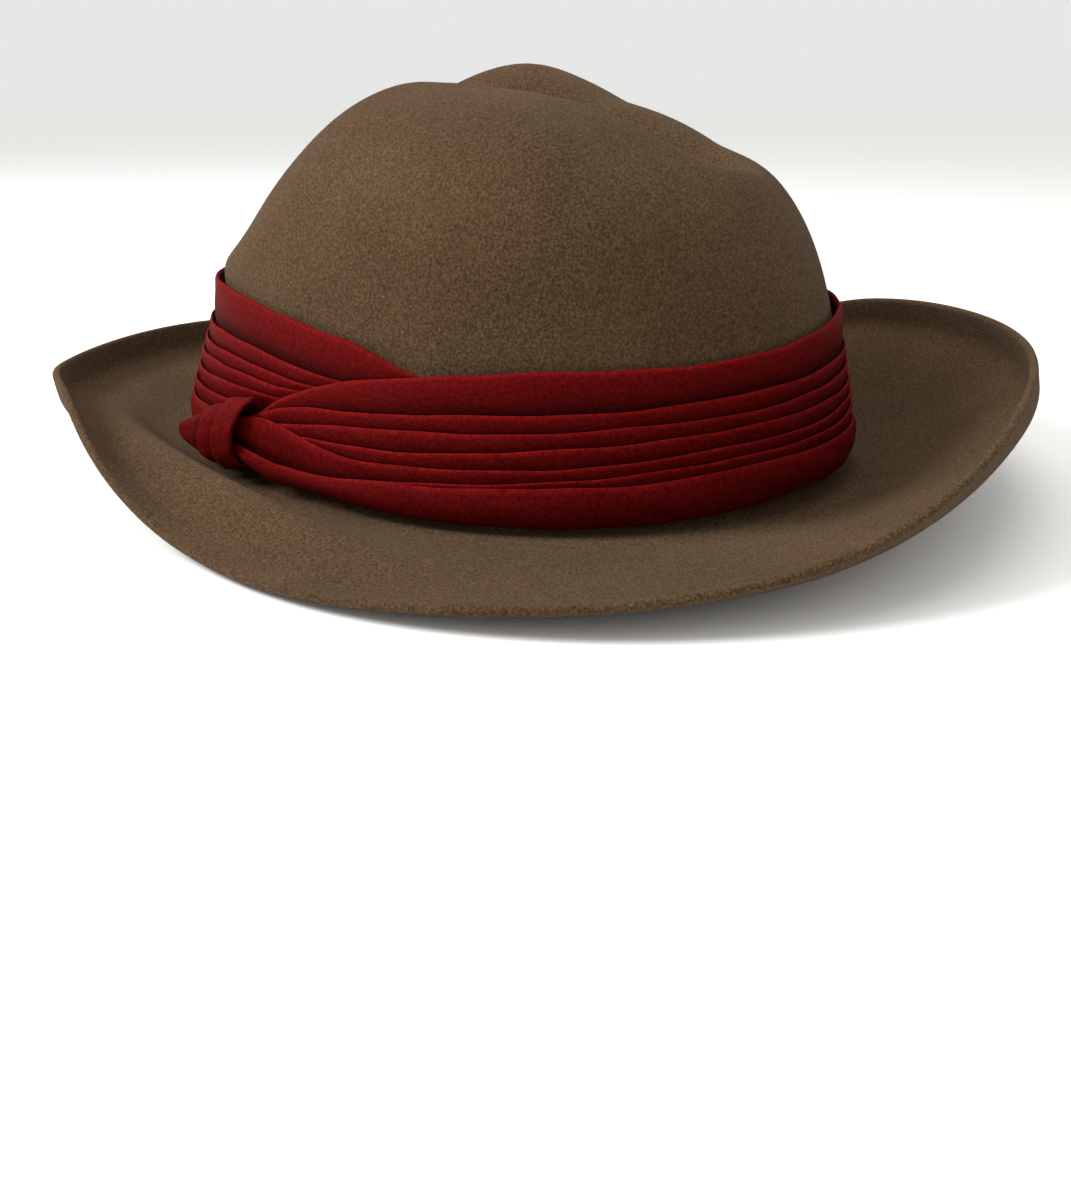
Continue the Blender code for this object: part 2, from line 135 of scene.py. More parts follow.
def brim_rows(theta, shares):
    """Rows on the brim's top: shares 0 to 1 are the bend, 1 to 2 the brim, 2 to 3 the lip."""
    bend, cut = BREAK_RADIUS * np.pi / 2, around(BRIM_CUT, theta)
    third = cut / 3
    heights = [np.full(len(theta), BREAK_BOTTOM)]
    heights += [around(table, theta) for table in (INNER_HEIGHT, MIDDLE_HEIGHT, EDGE_HEIGHT)]
    inner, middle, outer = (np.arcsin((high - low) / third) for low, high in zip(heights, heights[1:]))
    fine = np.linspace(0, 1, 1200)[:, None] * (bend + cut + LIP_CUT)
    slope = -np.pi / 2 * (1 - np.minimum(fine / bend, 1))
    slope = slope + inner * smooth(bend, bend + 0.7 * third, fine)
    slope = slope + (middle - inner) * smooth(bend + 0.6 * third, bend + 1.4 * third, fine)
    slope = slope + (outer - middle) * smooth(bend + 1.6 * third, bend + 2.4 * third, fine)
    lip_start, lip_end = bend + cut - 0.0015, bend + cut + 0.0045
    slope = slope + np.radians(around(LIP_TURN, theta)) * smooth(lip_start, lip_end, fine)
    step = fine[1] - fine[0]
    out, up = np.cumsum(np.cos(slope), 0) * step, np.cumsum(np.sin(slope), 0) * step
    columns = np.arange(len(theta))
    rows = []
    for share in shares:
        at = bend * min(share, 1) + cut * np.clip(share - 1, 0, 1) + LIP_CUT * np.clip(share - 2, 0, 1)
        row = np.minimum(np.round(at / step).astype(int), len(fine) - 1)
        reach = oval(theta) + out[row, columns]
        z = np.maximum(CROWN_BASE + up[row, columns], FELT)
        rows.append(np.stack([reach * np.sin(theta), -reach * np.cos(theta), z], -1))
    return rows


def grid_normals(grid):
    """Outward unit normals of rows of points that close round the hat."""
    down = np.gradient(grid, axis=0)
    across = (np.roll(grid, -1, axis=1) - np.roll(grid, 1, axis=1)) / 2
    normal = np.cross(down, across)
    return normal / np.maximum(np.linalg.norm(normal, axis=-1, keepdims=True), 1e-12)


def new_mesh(name, points, faces, finish, centred=True):
    """A smooth-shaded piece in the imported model's frame, from points about the crown's middle."""
    mesh = bpy.data.meshes.new(name)
    points = np.asarray(points, float).reshape(-1, 3) + (MIDDLE if centred else 0)
    mesh.from_pydata(points.tolist(), [], faces)
    mesh.materials.append(finish)
    mesh.shade_smooth()
    piece = bpy.data.objects.new(name, mesh)
    bpy.context.scene.collection.objects.link(piece)
    return piece


def closed_rows(rows, columns):
    """Quads between rows of points that close round the hat."""
    faces = []
    for row in range(rows - 1):
        a = row * columns
        for k in range(columns):
            n = (k + 1) % columns
            faces.append((a + k, a + columns + k, a + columns + n, a + n))
    return faces


def felt_finish():
    """Heathered brown wool: mixed light and dark fibres, a soft nap and a faint lint."""
    material = bpy.data.materials.new("wool felt")
    material.use_nodes = True
    nodes, links = material.node_tree.nodes, material.node_tree.links
    nodes.clear()
    output = nodes.new("ShaderNodeOutputMaterial")
    output.label = "felt"
    shader = nodes.new("ShaderNodeBsdfPrincipled")
    shader.label = "wool"
    place = nodes.new("ShaderNodeTexCoord")
    place.label = "place on the hat"
    fibre = nodes.new("ShaderNodeTexNoise")
    fibre.label = "single fibres"
    tuft = nodes.new("ShaderNodeTexNoise")
    tuft.label = "tufts of wool"
    wear_and_painted_light = nodes.new("ShaderNodeTexNoise")
    wear_and_painted_light.label = "brushing and handling"
    mixed = nodes.new("ShaderNodeMath")
    mixed.label = "fibres and tufts"
    heather = nodes.new("ShaderNodeValToRGB")
    heather.label = "dark to light wool"
    brushed = nodes.new("ShaderNodeValToRGB")
    brushed.label = "brushed tone"
    colour = nodes.new("ShaderNodeMix")
    colour.label = "tone over heather"
    lint = nodes.new("ShaderNodeTexVoronoi")
    lint.label = "lint specks"
    speck = nodes.new("ShaderNodeMath")
    speck.label = "only the smallest distance"
    linted = nodes.new("ShaderNodeMix")
    linted.label = "pale lint"
    nap = nodes.new("ShaderNodeBump")
    nap.label = "nap"
    felted = nodes.new("ShaderNodeBump")
    felted.label = "felted surface"
    colours = nodes.new("NodeFrame")
    colours.label = "wool colour"
    relief = nodes.new("NodeFrame")
    relief.label = "nap relief"
    for node in (heather, brushed, colour, lint, speck, linted, wear_and_painted_light):
        node.parent = colours
    for node in (nap, felted):
        node.parent = relief
    layout = ((output, 600, 0), (shader, 300, 0), (place, -1500, 0), (fibre, -1200, 200),
              (tuft, -1200, -100), (wear_and_painted_light, -1200, -400), (mixed, -950, 100), (heather, -700, 200),
              (brushed, -700, -150), (colour, -350, 100), (lint, -950, -500), (speck, -700, -500),
              (linted, -100, 0), (felted, -350, -400), (nap, -100, -400))
    for node, x, y in layout:
        node.location = (x, y)
    fibre.inputs["Scale"].default_value = 3200.0
    fibre.inputs["Detail"].default_value = 6.0
    fibre.inputs["Roughness"].default_value = 0.75
    tuft.inputs["Scale"].default_value = 1400.0
    tuft.inputs["Detail"].default_value = 4.0
    wear_and_painted_light.inputs["Scale"].default_value = 28.0
    wear_and_painted_light.inputs["Detail"].default_value = 4.0
    mixed.operation = "MULTIPLY"
    heather.color_ramp.elements[0].position = 0.15
    heather.color_ramp.elements[0].color = (0.037, 0.0205, 0.0095, 1)
    heather.color_ramp.elements[1].position = 0.37
    heather.color_ramp.elements[1].color = (0.130, 0.079, 0.040, 1)
    middle_tone = heather.color_ramp.elements.new(0.25)
    middle_tone.color = (0.073, 0.0430, 0.0210, 1)
    brushed.color_ramp.elements[0].position = 0.3
    brushed.color_ramp.elements[0].color = (0.86, 0.84, 0.82, 1)
    brushed.color_ramp.elements[1].position = 0.7
    brushed.color_ramp.elements[1].color = (1.12, 1.12, 1.14, 1)
    colour.data_type = "RGBA"
    colour.blend_type = "MULTIPLY"
    colour.inputs["Factor"].default_value = 1.0
    lint.inputs["Scale"].default_value = 160.0
    speck.operation = "LESS_THAN"
    speck.inputs[1].default_value = 0.035
    linted.data_type = "RGBA"
    linted.inputs["B"].default_value = (0.20, 0.14, 0.09, 1)
    felted.inputs["Strength"].default_value = 0.5
    felted.inputs["Distance"].default_value = 0.0006
    nap.inputs["Strength"].default_value = 0.85
    nap.inputs["Distance"].default_value = 0.00035
    shader.inputs["Roughness"].default_value = 0.95
    shader.inputs["Specular IOR Level"].default_value = 0.04
    shader.inputs["Sheen Weight"].default_value = 0.06
    shader.inputs["Sheen Roughness"].default_value = 0.5
    shader.inputs["Sheen Tint"].default_value = (0.95, 0.80, 0.66, 1)
    for texture in (fibre, tuft, wear_and_painted_light, lint):
        links.new(place.outputs["Object"], texture.inputs["Vector"])
    links.new(fibre.outputs["Fac"], mixed.inputs[0])
    links.new(tuft.outputs["Fac"], mixed.inputs[1])
    links.new(mixed.outputs["Value"], heather.inputs["Fac"])
    links.new(wear_and_painted_light.outputs["Fac"], brushed.inputs["Fac"])
    links.new(heather.outputs["Color"], colour.inputs["A"])
    links.new(brushed.outputs["Color"], colour.inputs["B"])
    links.new(lint.outputs["Distance"], speck.inputs[0])
    links.new(speck.outputs["Value"], linted.inputs["Factor"])
    links.new(colour.outputs["Result"], linted.inputs["A"])
    links.new(linted.outputs["Result"], shader.inputs["Base Color"])
    links.new(tuft.outputs["Fac"], felted.inputs["Height"])
    links.new(fibre.outputs["Fac"], nap.inputs["Height"])
    links.new(felted.outputs["Normal"], nap.inputs["Normal"])
    links.new(nap.outputs["Normal"], shader.inputs["Normal"])
    links.new(shader.outputs["BSDF"], output.inputs["Surface"])
    return material


wool = felt_finish()
theta = np.arange(FELT_COLUMNS) * 2 * np.pi / FELT_COLUMNS
parts = enumerate((BEND_ROWS, BRIM_ROWS, LIP_ROWS))
shares = np.concatenate([np.linspace(part, part + 1, rows + 1)[1:] for part, rows in parts])
crown = [crown_point(theta, reach, rise) for reach, rise in zip(*crown_rows(CROWN_ROWS))]
outer = np.array(crown + brim_rows(theta, shares))
normals = grid_normals(outer)
level = outer[..., 2]
uneven = np.sin(3 * theta + 1.0) * np.sin(level * 90) + np.sin(7 * theta + 2.0) * np.cos(level * 160)
uneven = uneven * smooth(0.010, 0.030, level) * UNEVENNESS
outer = outer + normals * uneven[..., None]
inner = outer - normals * FELT
outward = outer[-1] - outer[-2]
outward = outward / np.linalg.norm(outward, axis=-1, keepdims=True)
rim = []
for turn in np.linspace(0, np.pi, RIM_ROWS + 2)[1:-1]:
    facing = math.cos(turn) * normals[-1] + math.sin(turn) * outward
    rim.append(outer[-1] - normals[-1] * FELT / 2 + FELT / 2 * facing)
rows = np.concatenate([outer, np.array(rim), inner[::-1]])
top = crown_point(np.zeros(1), 0.0, 1.0)[0]
points = np.concatenate([rows.reshape(-1, 3), [top], [top - [0, 0, FELT]]])
faces = closed_rows(len(rows), FELT_COLUMNS)
last = (len(rows) - 1) * FELT_COLUMNS
for k in range(FELT_COLUMNS):
    n = (k + 1) % FELT_COLUMNS
    faces += [(k, n, len(points) - 2), (last + n, last + k, len(points) - 1)]
felt = new_mesh("felt", points, faces, wool)
nap_here = np.ones(len(points))
inside_crown = len(outer) + RIM_ROWS + len(outer) - CROWN_ROWS
nap_here[inside_crown * FELT_COLUMNS:] = 0
felt.data.attributes.new("nap", "FLOAT", "POINT").data.foreach_set("value", nap_here.astype(np.float32))
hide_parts("felt_body")
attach(felt, "root")

# --- nap ------------------------------------------------------------------------------------------
# Loose wool fibres that stand off the felt, as on any brushed hat. Short bent ribbons of two faces,
# scattered at random over the outside, with their roots in the surface.
def nap_tree(fibre_finish):
    """Bent fibres at random roots on a mesh, where its nap attribute is 1."""
    tree = bpy.data.node_groups.new("loose fibres", "GeometryNodeTree")
    nodes, links = tree.nodes, tree.links
    interface = tree.interface
    interface.new_socket("Geometry", in_out="OUTPUT", socket_type="NodeSocketGeometry")
    interface.new_socket("Geometry", in_out="INPUT", socket_type="NodeSocketGeometry")
    for label in ("Fibres per Square Metre", "Length", "Width", "Lean"):
        interface.new_socket(label, in_out="INPUT", socket_type="NodeSocketFloat")
    interface.new_socket("Seed", in_out="INPUT", socket_type="NodeSocketInt")
    start = nodes.new("NodeGroupInput")
    start.label = "felt and fibre sizes"
    nap_only = nodes.new("GeometryNodeInputNamedAttribute")
    nap_only.label = "where the felt has a nap"
    density = nodes.new("ShaderNodeMath")
    density.label = "fibres here"
    scatter = nodes.new("GeometryNodeDistributePointsOnFaces")
    scatter.label = "fibre roots"
    ribbon = nodes.new("GeometryNodeMeshGrid")
    ribbon.label = "one fibre, flat"
    position = nodes.new("GeometryNodeInputPosition")
    position.label = "place on the fibre"
    parts = nodes.new("ShaderNodeSeparateXYZ")
    parts.label = "across and along"
    squared = nodes.new("ShaderNodeMath")
    squared.label = "bend grows to the tip"
    bend = nodes.new("ShaderNodeMath")
    bend.label = "bend"
    upright = nodes.new("ShaderNodeCombineXYZ")
    upright.label = "stood up and bent"
    stand = nodes.new("GeometryNodeSetPosition")
    stand.label = "bent fibre"
    lean = nodes.new("FunctionNodeRandomValue")
    lean.label = "random lean and turn"
    turned = nodes.new("FunctionNodeRotateRotation")
    turned.label = "lean from the surface"
    to_rotation = nodes.new("FunctionNodeEulerToRotation")
    to_rotation.label = "lean as a rotation"
    reverse = nodes.new("ShaderNodeVectorMath")
    reverse.label = "least lean"
    most = nodes.new("ShaderNodeCombineXYZ")
    most.label = "most lean"
    sizes = nodes.new("FunctionNodeRandomValue")
    sizes.label = "random length"
    place = nodes.new("GeometryNodeInstanceOnPoints")
    place.label = "fibres on roots"
    realise = nodes.new("GeometryNodeRealizeInstances")
    realise.label = "plain mesh"
    finish = nodes.new("GeometryNodeSetMaterial")
    finish.label = "loose wool"
    end = nodes.new("NodeGroupOutput")
    end.label = "nap"
    one = nodes.new("NodeFrame")
    one.label = "one fibre"
    for node in (ribbon, position, parts, squared, bend, upright, stand):
        node.parent = one
    layout = ((start, -1700, 0), (nap_only, -1500, 300), (density, -1250, 250), (scatter, -1000, 300),
              (ribbon, -1500, -300), (position, -1500, -500), (parts, -1300, -500),
              (squared, -1100, -600), (bend, -900, -600), (upright, -700, -500), (stand, -500, -300),
              (most, -1500, -800), (reverse, -1300, -900), (lean, -1000, -850),
              (to_rotation, -750, -800), (turned, -500, 0), (sizes, -500, -600), (place, -200, 100),
              (realise, 0, 100), (finish, 200, 100), (end, 400, 100))
    for node, x, y in layout:
        node.location = (x, y)
    nap_only.data_type = "FLOAT"
    nap_only.inputs["Name"].default_value = "nap"
    density.operation = "MULTIPLY"
    ribbon.inputs["Vertices X"].default_value = 2
    ribbon.inputs["Vertices Y"].default_value = 3
    squared.operation = "MULTIPLY"
    bend.operation = "MULTIPLY"
    bend.inputs[1].default_value = 350.0
    lean.data_type = "FLOAT_VECTOR"
    most.inputs["Z"].default_value = math.pi
    reverse.operation = "SCALE"
    reverse.inputs["Scale"].default_value = -1.0
    turned.rotation_space = "LOCAL"
    sizes.data_type = "FLOAT"
    sizes.inputs[2].default_value = 0.35
    sizes.inputs[3].default_value = 1.0
    finish.inputs["Material"].default_value = fibre_finish
    links.new(start.outputs["Geometry"], scatter.inputs["Mesh"])
    links.new(start.outputs["Fibres per Square Metre"], density.inputs[0])
    links.new(nap_only.outputs["Attribute"], density.inputs[1])
    links.new(density.outputs["Value"], scatter.inputs["Density"])
    links.new(start.outputs["Seed"], scatter.inputs["Seed"])
    links.new(start.outputs["Width"], ribbon.inputs["Size X"])
    links.new(start.outputs["Length"], ribbon.inputs["Size Y"])
    links.new(position.outputs["Position"], parts.inputs["Vector"])
    links.new(parts.outputs["Y"], squared.inputs[0])
    links.new(parts.outputs["Y"], squared.inputs[1])
    links.new(squared.outputs["Value"], bend.inputs[0])
    links.new(parts.outputs["X"], upright.inputs["X"])
    links.new(bend.outputs["Value"], upright.inputs["Y"])
    links.new(parts.outputs["Y"], upright.inputs["Z"])
    links.new(ribbon.outputs["Mesh"], stand.inputs["Geometry"])
    links.new(upright.outputs["Vector"], stand.inputs["Position"])
    links.new(start.outputs["Lean"], most.inputs["X"])
    links.new(start.outputs["Lean"], most.inputs["Y"])
    links.new(most.outputs["Vector"], reverse.inputs["Vector"])
    links.new(reverse.outputs["Vector"], lean.inputs["Min"])
    links.new(most.outputs["Vector"], lean.inputs["Max"])
    links.new(start.outputs["Seed"], lean.inputs["Seed"])
    links.new(start.outputs["Seed"], sizes.inputs["Seed"])
    links.new(lean.outputs["Value"], to_rotation.inputs["Euler"])
    links.new(scatter.outputs["Rotation"], turned.inputs["Rotation"])
    links.new(to_rotation.outputs["Rotation"], turned.inputs["Rotate By"])
    links.new(scatter.outputs["Points"], place.inputs["Points"])
    links.new(stand.outputs["Geometry"], place.inputs["Instance"])
    links.new(turned.outputs["Rotation"], place.inputs["Rotation"])
    links.new(sizes.outputs[1], place.inputs["Scale"])
    links.new(place.outputs["Instances"], realise.inputs["Geometry"])
    links.new(realise.outputs["Geometry"], finish.inputs["Geometry"])
    links.new(finish.outputs["Geometry"], end.inputs["Geometry"])
    return tree


def grown(name, host, tree, settings):
    """A plain mesh piece from a tree that reads the host's mesh, with its inputs set by name."""
    carrier = bpy.data.objects.new(name + " carrier", host.data)
    bpy.context.scene.collection.objects.link(carrier)
    modifier = carrier.modifiers.new(tree.name, "NODES")
    modifier.node_group = tree
    identifiers = {item.name: item.identifier for item in tree.interface.items_tree if item.in_out == "INPUT"}
    for label, value in settings.items():
        modifier[identifiers[label]] = value
    graph = bpy.context.evaluated_depsgraph_get()
    mesh = bpy.data.meshes.new_from_object(carrier.evaluated_get(graph))
    carrier.modifiers.remove(modifier)
    bpy.data.objects.remove(carrier)
    mesh.name = name
    piece = bpy.data.objects.new(name, mesh)
    bpy.context.scene.collection.objects.link(piece)
    return piece


def loose_wool_finish():
    """Pale loose fibres, lighter than the felt because light passes through them."""
    material = bpy.data.materials.new("loose wool")
    material.use_nodes = True
    nodes, links = material.node_tree.nodes, material.node_tree.links
    nodes.clear()
    output = nodes.new("ShaderNodeOutputMaterial")
    output.label = "loose fibre"
    shader = nodes.new("ShaderNodeBsdfPrincipled")
    shader.label = "wool"
    place = nodes.new("ShaderNodeTexCoord")
    place.label = "place on the hat"
    strands = nodes.new("ShaderNodeTexNoise")
    strands.label = "fibre by fibre"
    tone = nodes.new("ShaderNodeValToRGB")
    tone.label = "brown to fawn"
    fibre_colour = nodes.new("NodeFrame")
    fibre_colour.label = "fibre colour"
    for node in (strands, tone):
        node.parent = fibre_colour
    for node, x, y in ((output, 500, 0), (shader, 200, 0), (place, -600, 0), (strands, -400, 0),
                       (tone, -150, 0)):
        node.location = (x, y)
    strands.inputs["Scale"].default_value = 900.0
    tone.color_ramp.elements[0].position = 0.35
    tone.color_ramp.elements[0].color = (0.075, 0.047, 0.028, 1)
    tone.color_ramp.elements[1].position = 0.70
    tone.color_ramp.elements[1].color = (0.22, 0.15, 0.095, 1)
    shader.inputs["Roughness"].default_value = 0.8
    links.new(place.outputs["Object"], strands.inputs["Vector"])
    links.new(strands.outputs["Fac"], tone.inputs["Fac"])
    links.new(tone.outputs["Color"], shader.inputs["Base Color"])
    links.new(shader.outputs["BSDF"], output.inputs["Surface"])
    return material


nap = grown("nap", felt, nap_tree(loose_wool_finish()), {
    "Fibres per Square Metre": 180000.0, "Length": 0.0015, "Width": 0.00004, "Lean": 1.2, "Seed": 7})
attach(nap, "root")

# --- pleated band ---------------------------------------------------------------------------------
# One strip of burgundy crepe, pressed into six pleats whose folds face up. It starts in the knot,
# goes round by the back and the far side, and ends under its own start. Heights are in millimetres.
BAND_DEGREES = (77, 84, 90, 97, 105, 116, 131, 141, 150, 160, 170,
                180, 190, 230, 330, 400, 419, 431, 446, 458, 474)
BAND_TOP = (27.3, 31.5, 35.2, 38.0, 40.3, 42.3, 43.9, 44.1, 44.5, 45.2, 46.4,
            48.6, 50.5, 53.0, 55.0, 55.5, 55.2, 53.7, 50.4, 47.6, 39.0)
PLEAT_FOLDS = (
    (27.2, 28.4, 30.0, 30.6, 31.2, 32.5, 33.7, 34.1, 35.0, 36.2, 37.4,
     38.7, 39.5, 40.5, 42.0, 43.0, 43.1, 41.9, 39.1, 37.2, 35.5),
    (23.4, 24.2, 25.5, 26.5, 27.3, 28.3, 29.1, 29.9, 30.8, 31.7, 32.7,
     33.9, 34.8, 35.2, 36.5, 37.5, 37.9, 37.4, 35.5, 33.9, 32.2),
    (19.0, 20.4, 21.7, 21.8, 22.0, 23.1, 24.9, 25.9, 27.3, 28.2, 28.8,
     29.6, 30.4, 30.6, 32.0, 33.4, 34.3, 34.2, 32.6, 31.0, 29.2),
    (27.4, 23.4, 20.6, 18.8, 18.5, 18.9, 20.2, 21.2, 22.6, 23.9, 24.6,
     25.5, 26.4, 26.2, 27.5, 29.0, 30.2, 30.3, 29.3, 28.0, 26.5),
    (14.0, 12.4, 11.7, 12.6, 14.0, 15.5, 17.2, 17.9, 19.5, 21.0, 21.5,
     21.8, 22.6, 21.8, 22.8, 24.5, 25.4, 25.6, 25.2, 24.6, 23.8),
    (14.3, 12.7, 12.0, 12.9, 14.1, 14.6, 15.5, 15.7, 16.8, 18.4, 18.3,
     18.6, 18.7, 17.6, 18.5, 20.0, 20.9, 21.2, 21.2, 21.4, 21.6),
)
BAND_BOTTOM = (6.9, 7.0, 6.9, 6.5, 5.9, 5.0, 4.6, 4.9, 5.6, 6.7, 7.9,
               8.4, 8.6, 8.5, 8.0, 8.2, 8.5, 9.5, 11.0, 15.0, 19.0)
CREPE = 0.28                # thickness
PLEAT_STEP = 0.42           # each pleat lies this far over the one above
UNDERLAP = 1.4              # hidden cloth behind each fold
FACE = 1.35                 # the first pleat's face stands this far off the strip's back
STRIP_START, STRIP_END, STATION_STEP = 72, 474.01, 1.25     # degrees
OVER_START = 425            # degrees where the strip's end meets its own start
END_PRESS, START_GATHER = 0.60, 0.50        # how far the end is flattened, and the start drawn in
FRONT_LIFT, HEM_FLARE, START_LIFT = 1.8, 4.0, 4.5           # how far they stand off the felt
FLARE_ANGLE, FLARE_SPREAD = 0.78, 0.10      # where the hem flares in front of the knot, and how widely
KNOT_MOUTH = 19.0           # height of the middle of the knot, where the pleats gather
BAND_CLEAR = 1.5            # the band's back stands this far off the felt, over the stay ribbon


def wall(theta, z, outset):
    """A point at a height on the crown's wall, moved out by outset, or in where it is negative."""
    rise = np.clip((z - CROWN_BASE) / (CROWN_HEIGHT - CROWN_BASE), 0, 1)
    narrow = (1 - rise**CROWN_POWER) ** (1 / CROWN_POWER)
    narrow = narrow * (fullness(theta, z) - TAPER * np.maximum(z - CROWN_BASE, 0))
    radius = oval(theta) * narrow + outset
    return np.stack([radius * np.sin(theta), -radius * np.cos(theta), z + 0 * radius], -1)


def crepe_finish(name, dark, light):
    """Matt crepe: crinkled weave, deep red, with a painted highlight along its pressed fold edges and painted
    shade deep in its pleats.
    """
    material = bpy.data.materials.new(name)
    material.use_nodes = True
    nodes, links = material.node_tree.nodes, material.node_tree.links
    nodes.clear()
    output = nodes.new("ShaderNodeOutputMaterial")
    output.label = "crepe"
    shader = nodes.new("ShaderNodeBsdfPrincipled")
    shader.label = "cloth"
    place = nodes.new("ShaderNodeUVMap")
    place.label = "place on the cloth, in metres"
    stretch = nodes.new("ShaderNodeMapping")
    stretch.label = "crinkles run across the cloth"
    crinkle = nodes.new("ShaderNodeTexNoise")
    crinkle.label = "crepe crinkle"
    warp = nodes.new("ShaderNodeTexWave")
    warp.label = "warp threads"
    weft = nodes.new("ShaderNodeTexWave")
    weft.label = "weft threads"
    threads = nodes.new("ShaderNodeMath")
    threads.label = "weave"
    dye = nodes.new("ShaderNodeTexNoise")
    dye.label = "uneven dye"
    fleck = nodes.new("ShaderNodeMath")
    fleck.label = "dye and crinkle"
    tone = nodes.new("ShaderNodeValToRGB")
    tone.label = "dark to light thread"
    fold = nodes.new("ShaderNodeAttribute")
    fold.label = "deep in a pleat or on its edge"
    wear_and_painted_light = nodes.new("ShaderNodeMapRange")
    wear_and_painted_light.label = "painted highlight on edges, painted shade in depths"
    shaded = nodes.new("ShaderNodeVectorMath")
    shaded.label = "colour with painted fold light"
    crinkled = nodes.new("ShaderNodeBump")
    crinkled.label = "crinkle relief"
    woven = nodes.new("ShaderNodeBump")
    woven.label = "thread relief"
    colours = nodes.new("NodeFrame")
    colours.label = "dyed colour"
    relief = nodes.new("NodeFrame")
    relief.label = "weave relief"
    for node in (dye, fleck, tone, fold, wear_and_painted_light, shaded):
        node.parent = colours
    for node in (warp, weft, threads, crinkled, woven):
        node.parent = relief
    layout = ((output, 700, 0), (shader, 400, 0), (place, -1400, 0), (stretch, -1150, 100),
              (crinkle, -900, 200), (warp, -900, -300), (weft, -900, -600), (threads, -650, -450),
              (dye, -900, 500), (fleck, -650, 400), (tone, -350, 300), (fold, -650, 700),
              (wear_and_painted_light, -350, 650), (shaded, 0, 400), (woven, -200, -400), (crinkled, 100, -300))
    for node, x, y in layout:
        node.location = (x, y)
    stretch.inputs["Scale"].default_value = (1.0, 0.55, 1.0)
    crinkle.inputs["Scale"].default_value = 1900.0
    crinkle.inputs["Detail"].default_value = 2.0
    dye.inputs["Scale"].default_value = 700.0
    dye.inputs["Detail"].default_value = 2.0
    warp.inputs["Scale"].default_value = 620.0
    weft.inputs["Scale"].default_value = 620.0
    weft.bands_direction = "Y"
    threads.operation = "ADD"
    fleck.operation = "MULTIPLY"
    tone.color_ramp.elements[0].position = 0.12
    tone.color_ramp.elements[0].color = (*dark, 1)
    tone.color_ramp.elements[1].position = 0.42
    tone.color_ramp.elements[1].color = (*light, 1)
    fold.attribute_name = "fold"
    # Painted light: the fold attribute scales the colour, up to 1.45 on pressed edges as a painted highlight
    # and down to 0.25 deep in pleats as painted shade.
    wear_and_painted_light.inputs["From Min"].default_value = -1.0
    wear_and_painted_light.inputs["To Min"].default_value = 1.45
    wear_and_painted_light.inputs["To Max"].default_value = 0.25
    shaded.operation = "SCALE"
    woven.inputs["Strength"].default_value = 0.25
    woven.inputs["Distance"].default_value = 0.00012
    crinkled.inputs["Strength"].default_value = 0.6
    crinkled.inputs["Distance"].default_value = 0.00025
    shader.inputs["Roughness"].default_value = 0.70
    shader.inputs["Specular IOR Level"].default_value = 0.03
    shader.inputs["Sheen Weight"].default_value = 0.02
    shader.inputs["Sheen Roughness"].default_value = 0.35
    shader.inputs["Sheen Tint"].default_value = (1.0, 0.16, 0.13, 1)
    links.new(place.outputs["UV"], stretch.inputs["Vector"])
    links.new(stretch.outputs["Vector"], crinkle.inputs["Vector"])
    for texture in (warp, weft, dye):
        links.new(place.outputs["UV"], texture.inputs["Vector"])
    links.new(dye.outputs["Fac"], fleck.inputs[0])
    links.new(crinkle.outputs["Fac"], fleck.inputs[1])
    links.new(fleck.outputs["Value"], tone.inputs["Fac"])
    links.new(fold.outputs["Fac"], wear_and_painted_light.inputs["Value"])
    links.new(tone.outputs["Color"], shaded.inputs[0])
    links.new(wear_and_painted_light.outputs["Result"], shaded.inputs["Scale"])
    links.new(shaded.outputs["Vector"], shader.inputs["Base Color"])
    links.new(warp.outputs["Fac"], threads.inputs[0])
    links.new(weft.outputs["Fac"], threads.inputs[1])
    links.new(threads.outputs["Value"], woven.inputs["Height"])
    links.new(crinkle.outputs["Fac"], crinkled.inputs["Height"])
    links.new(woven.outputs["Normal"], crinkled.inputs["Normal"])
    links.new(crinkled.outputs["Normal"], shader.inputs["Normal"])
    links.new(shader.outputs["BSDF"], output.inputs["Surface"])
    return material


def cloth_grid(name, grid, finish, thickness, fold=None):
    """A sheet of cloth from rows of points, with its own thickness and a UV map in metres."""
    stations, count = grid.shape[:2]
    faces = []
    for s in range(stations - 1):
        here, there = s * count, (s + 1) * count
        for k in range(count - 1):
            faces.append((here + k, here + k + 1, there + k + 1, there + k))
    piece = new_mesh(name, grid, faces, finish)
    middle_row, middle_column = grid[:, count // 2], grid[stations // 2]
    along = np.concatenate([[0], np.cumsum(np.linalg.norm(np.diff(middle_row, axis=0), axis=1))])
    across = np.concatenate([[0], np.cumsum(np.linalg.norm(np.diff(middle_column, axis=0), axis=1))])
    uv = []
    for s in range(stations - 1):
        here, there = along[s], along[s + 1]
        for k in range(count - 1):
            uv += [here, across[k], here, across[k + 1], there, across[k + 1], there, across[k]]
    piece.data.uv_layers.new(name="cloth").data.foreach_set("uv", uv)
    # The fold attribute carries painted light: painted shade where the cloth lies deep in a fold, and on the
    # band a painted highlight on its pressed edges.
    if fold is not None:
        fold_light_paint = piece.data.attributes.new("fold", "FLOAT", "POINT").data
        fold_light_paint.foreach_set("value", fold.ravel().astype(np.float32))
    seam = bmesh.new()
    seam.from_mesh(piece.data)
    bmesh.ops.remove_doubles(seam, verts=seam.verts, dist=0.00001)
    seam.to_mesh(piece.data)
    seam.free()
    shell = piece.modifiers.new("cloth thickness", "SOLIDIFY")
    shell.thickness = thickness
    shell.offset = 0.0
    return piece, (float(across[-1]), float(along[-1]))


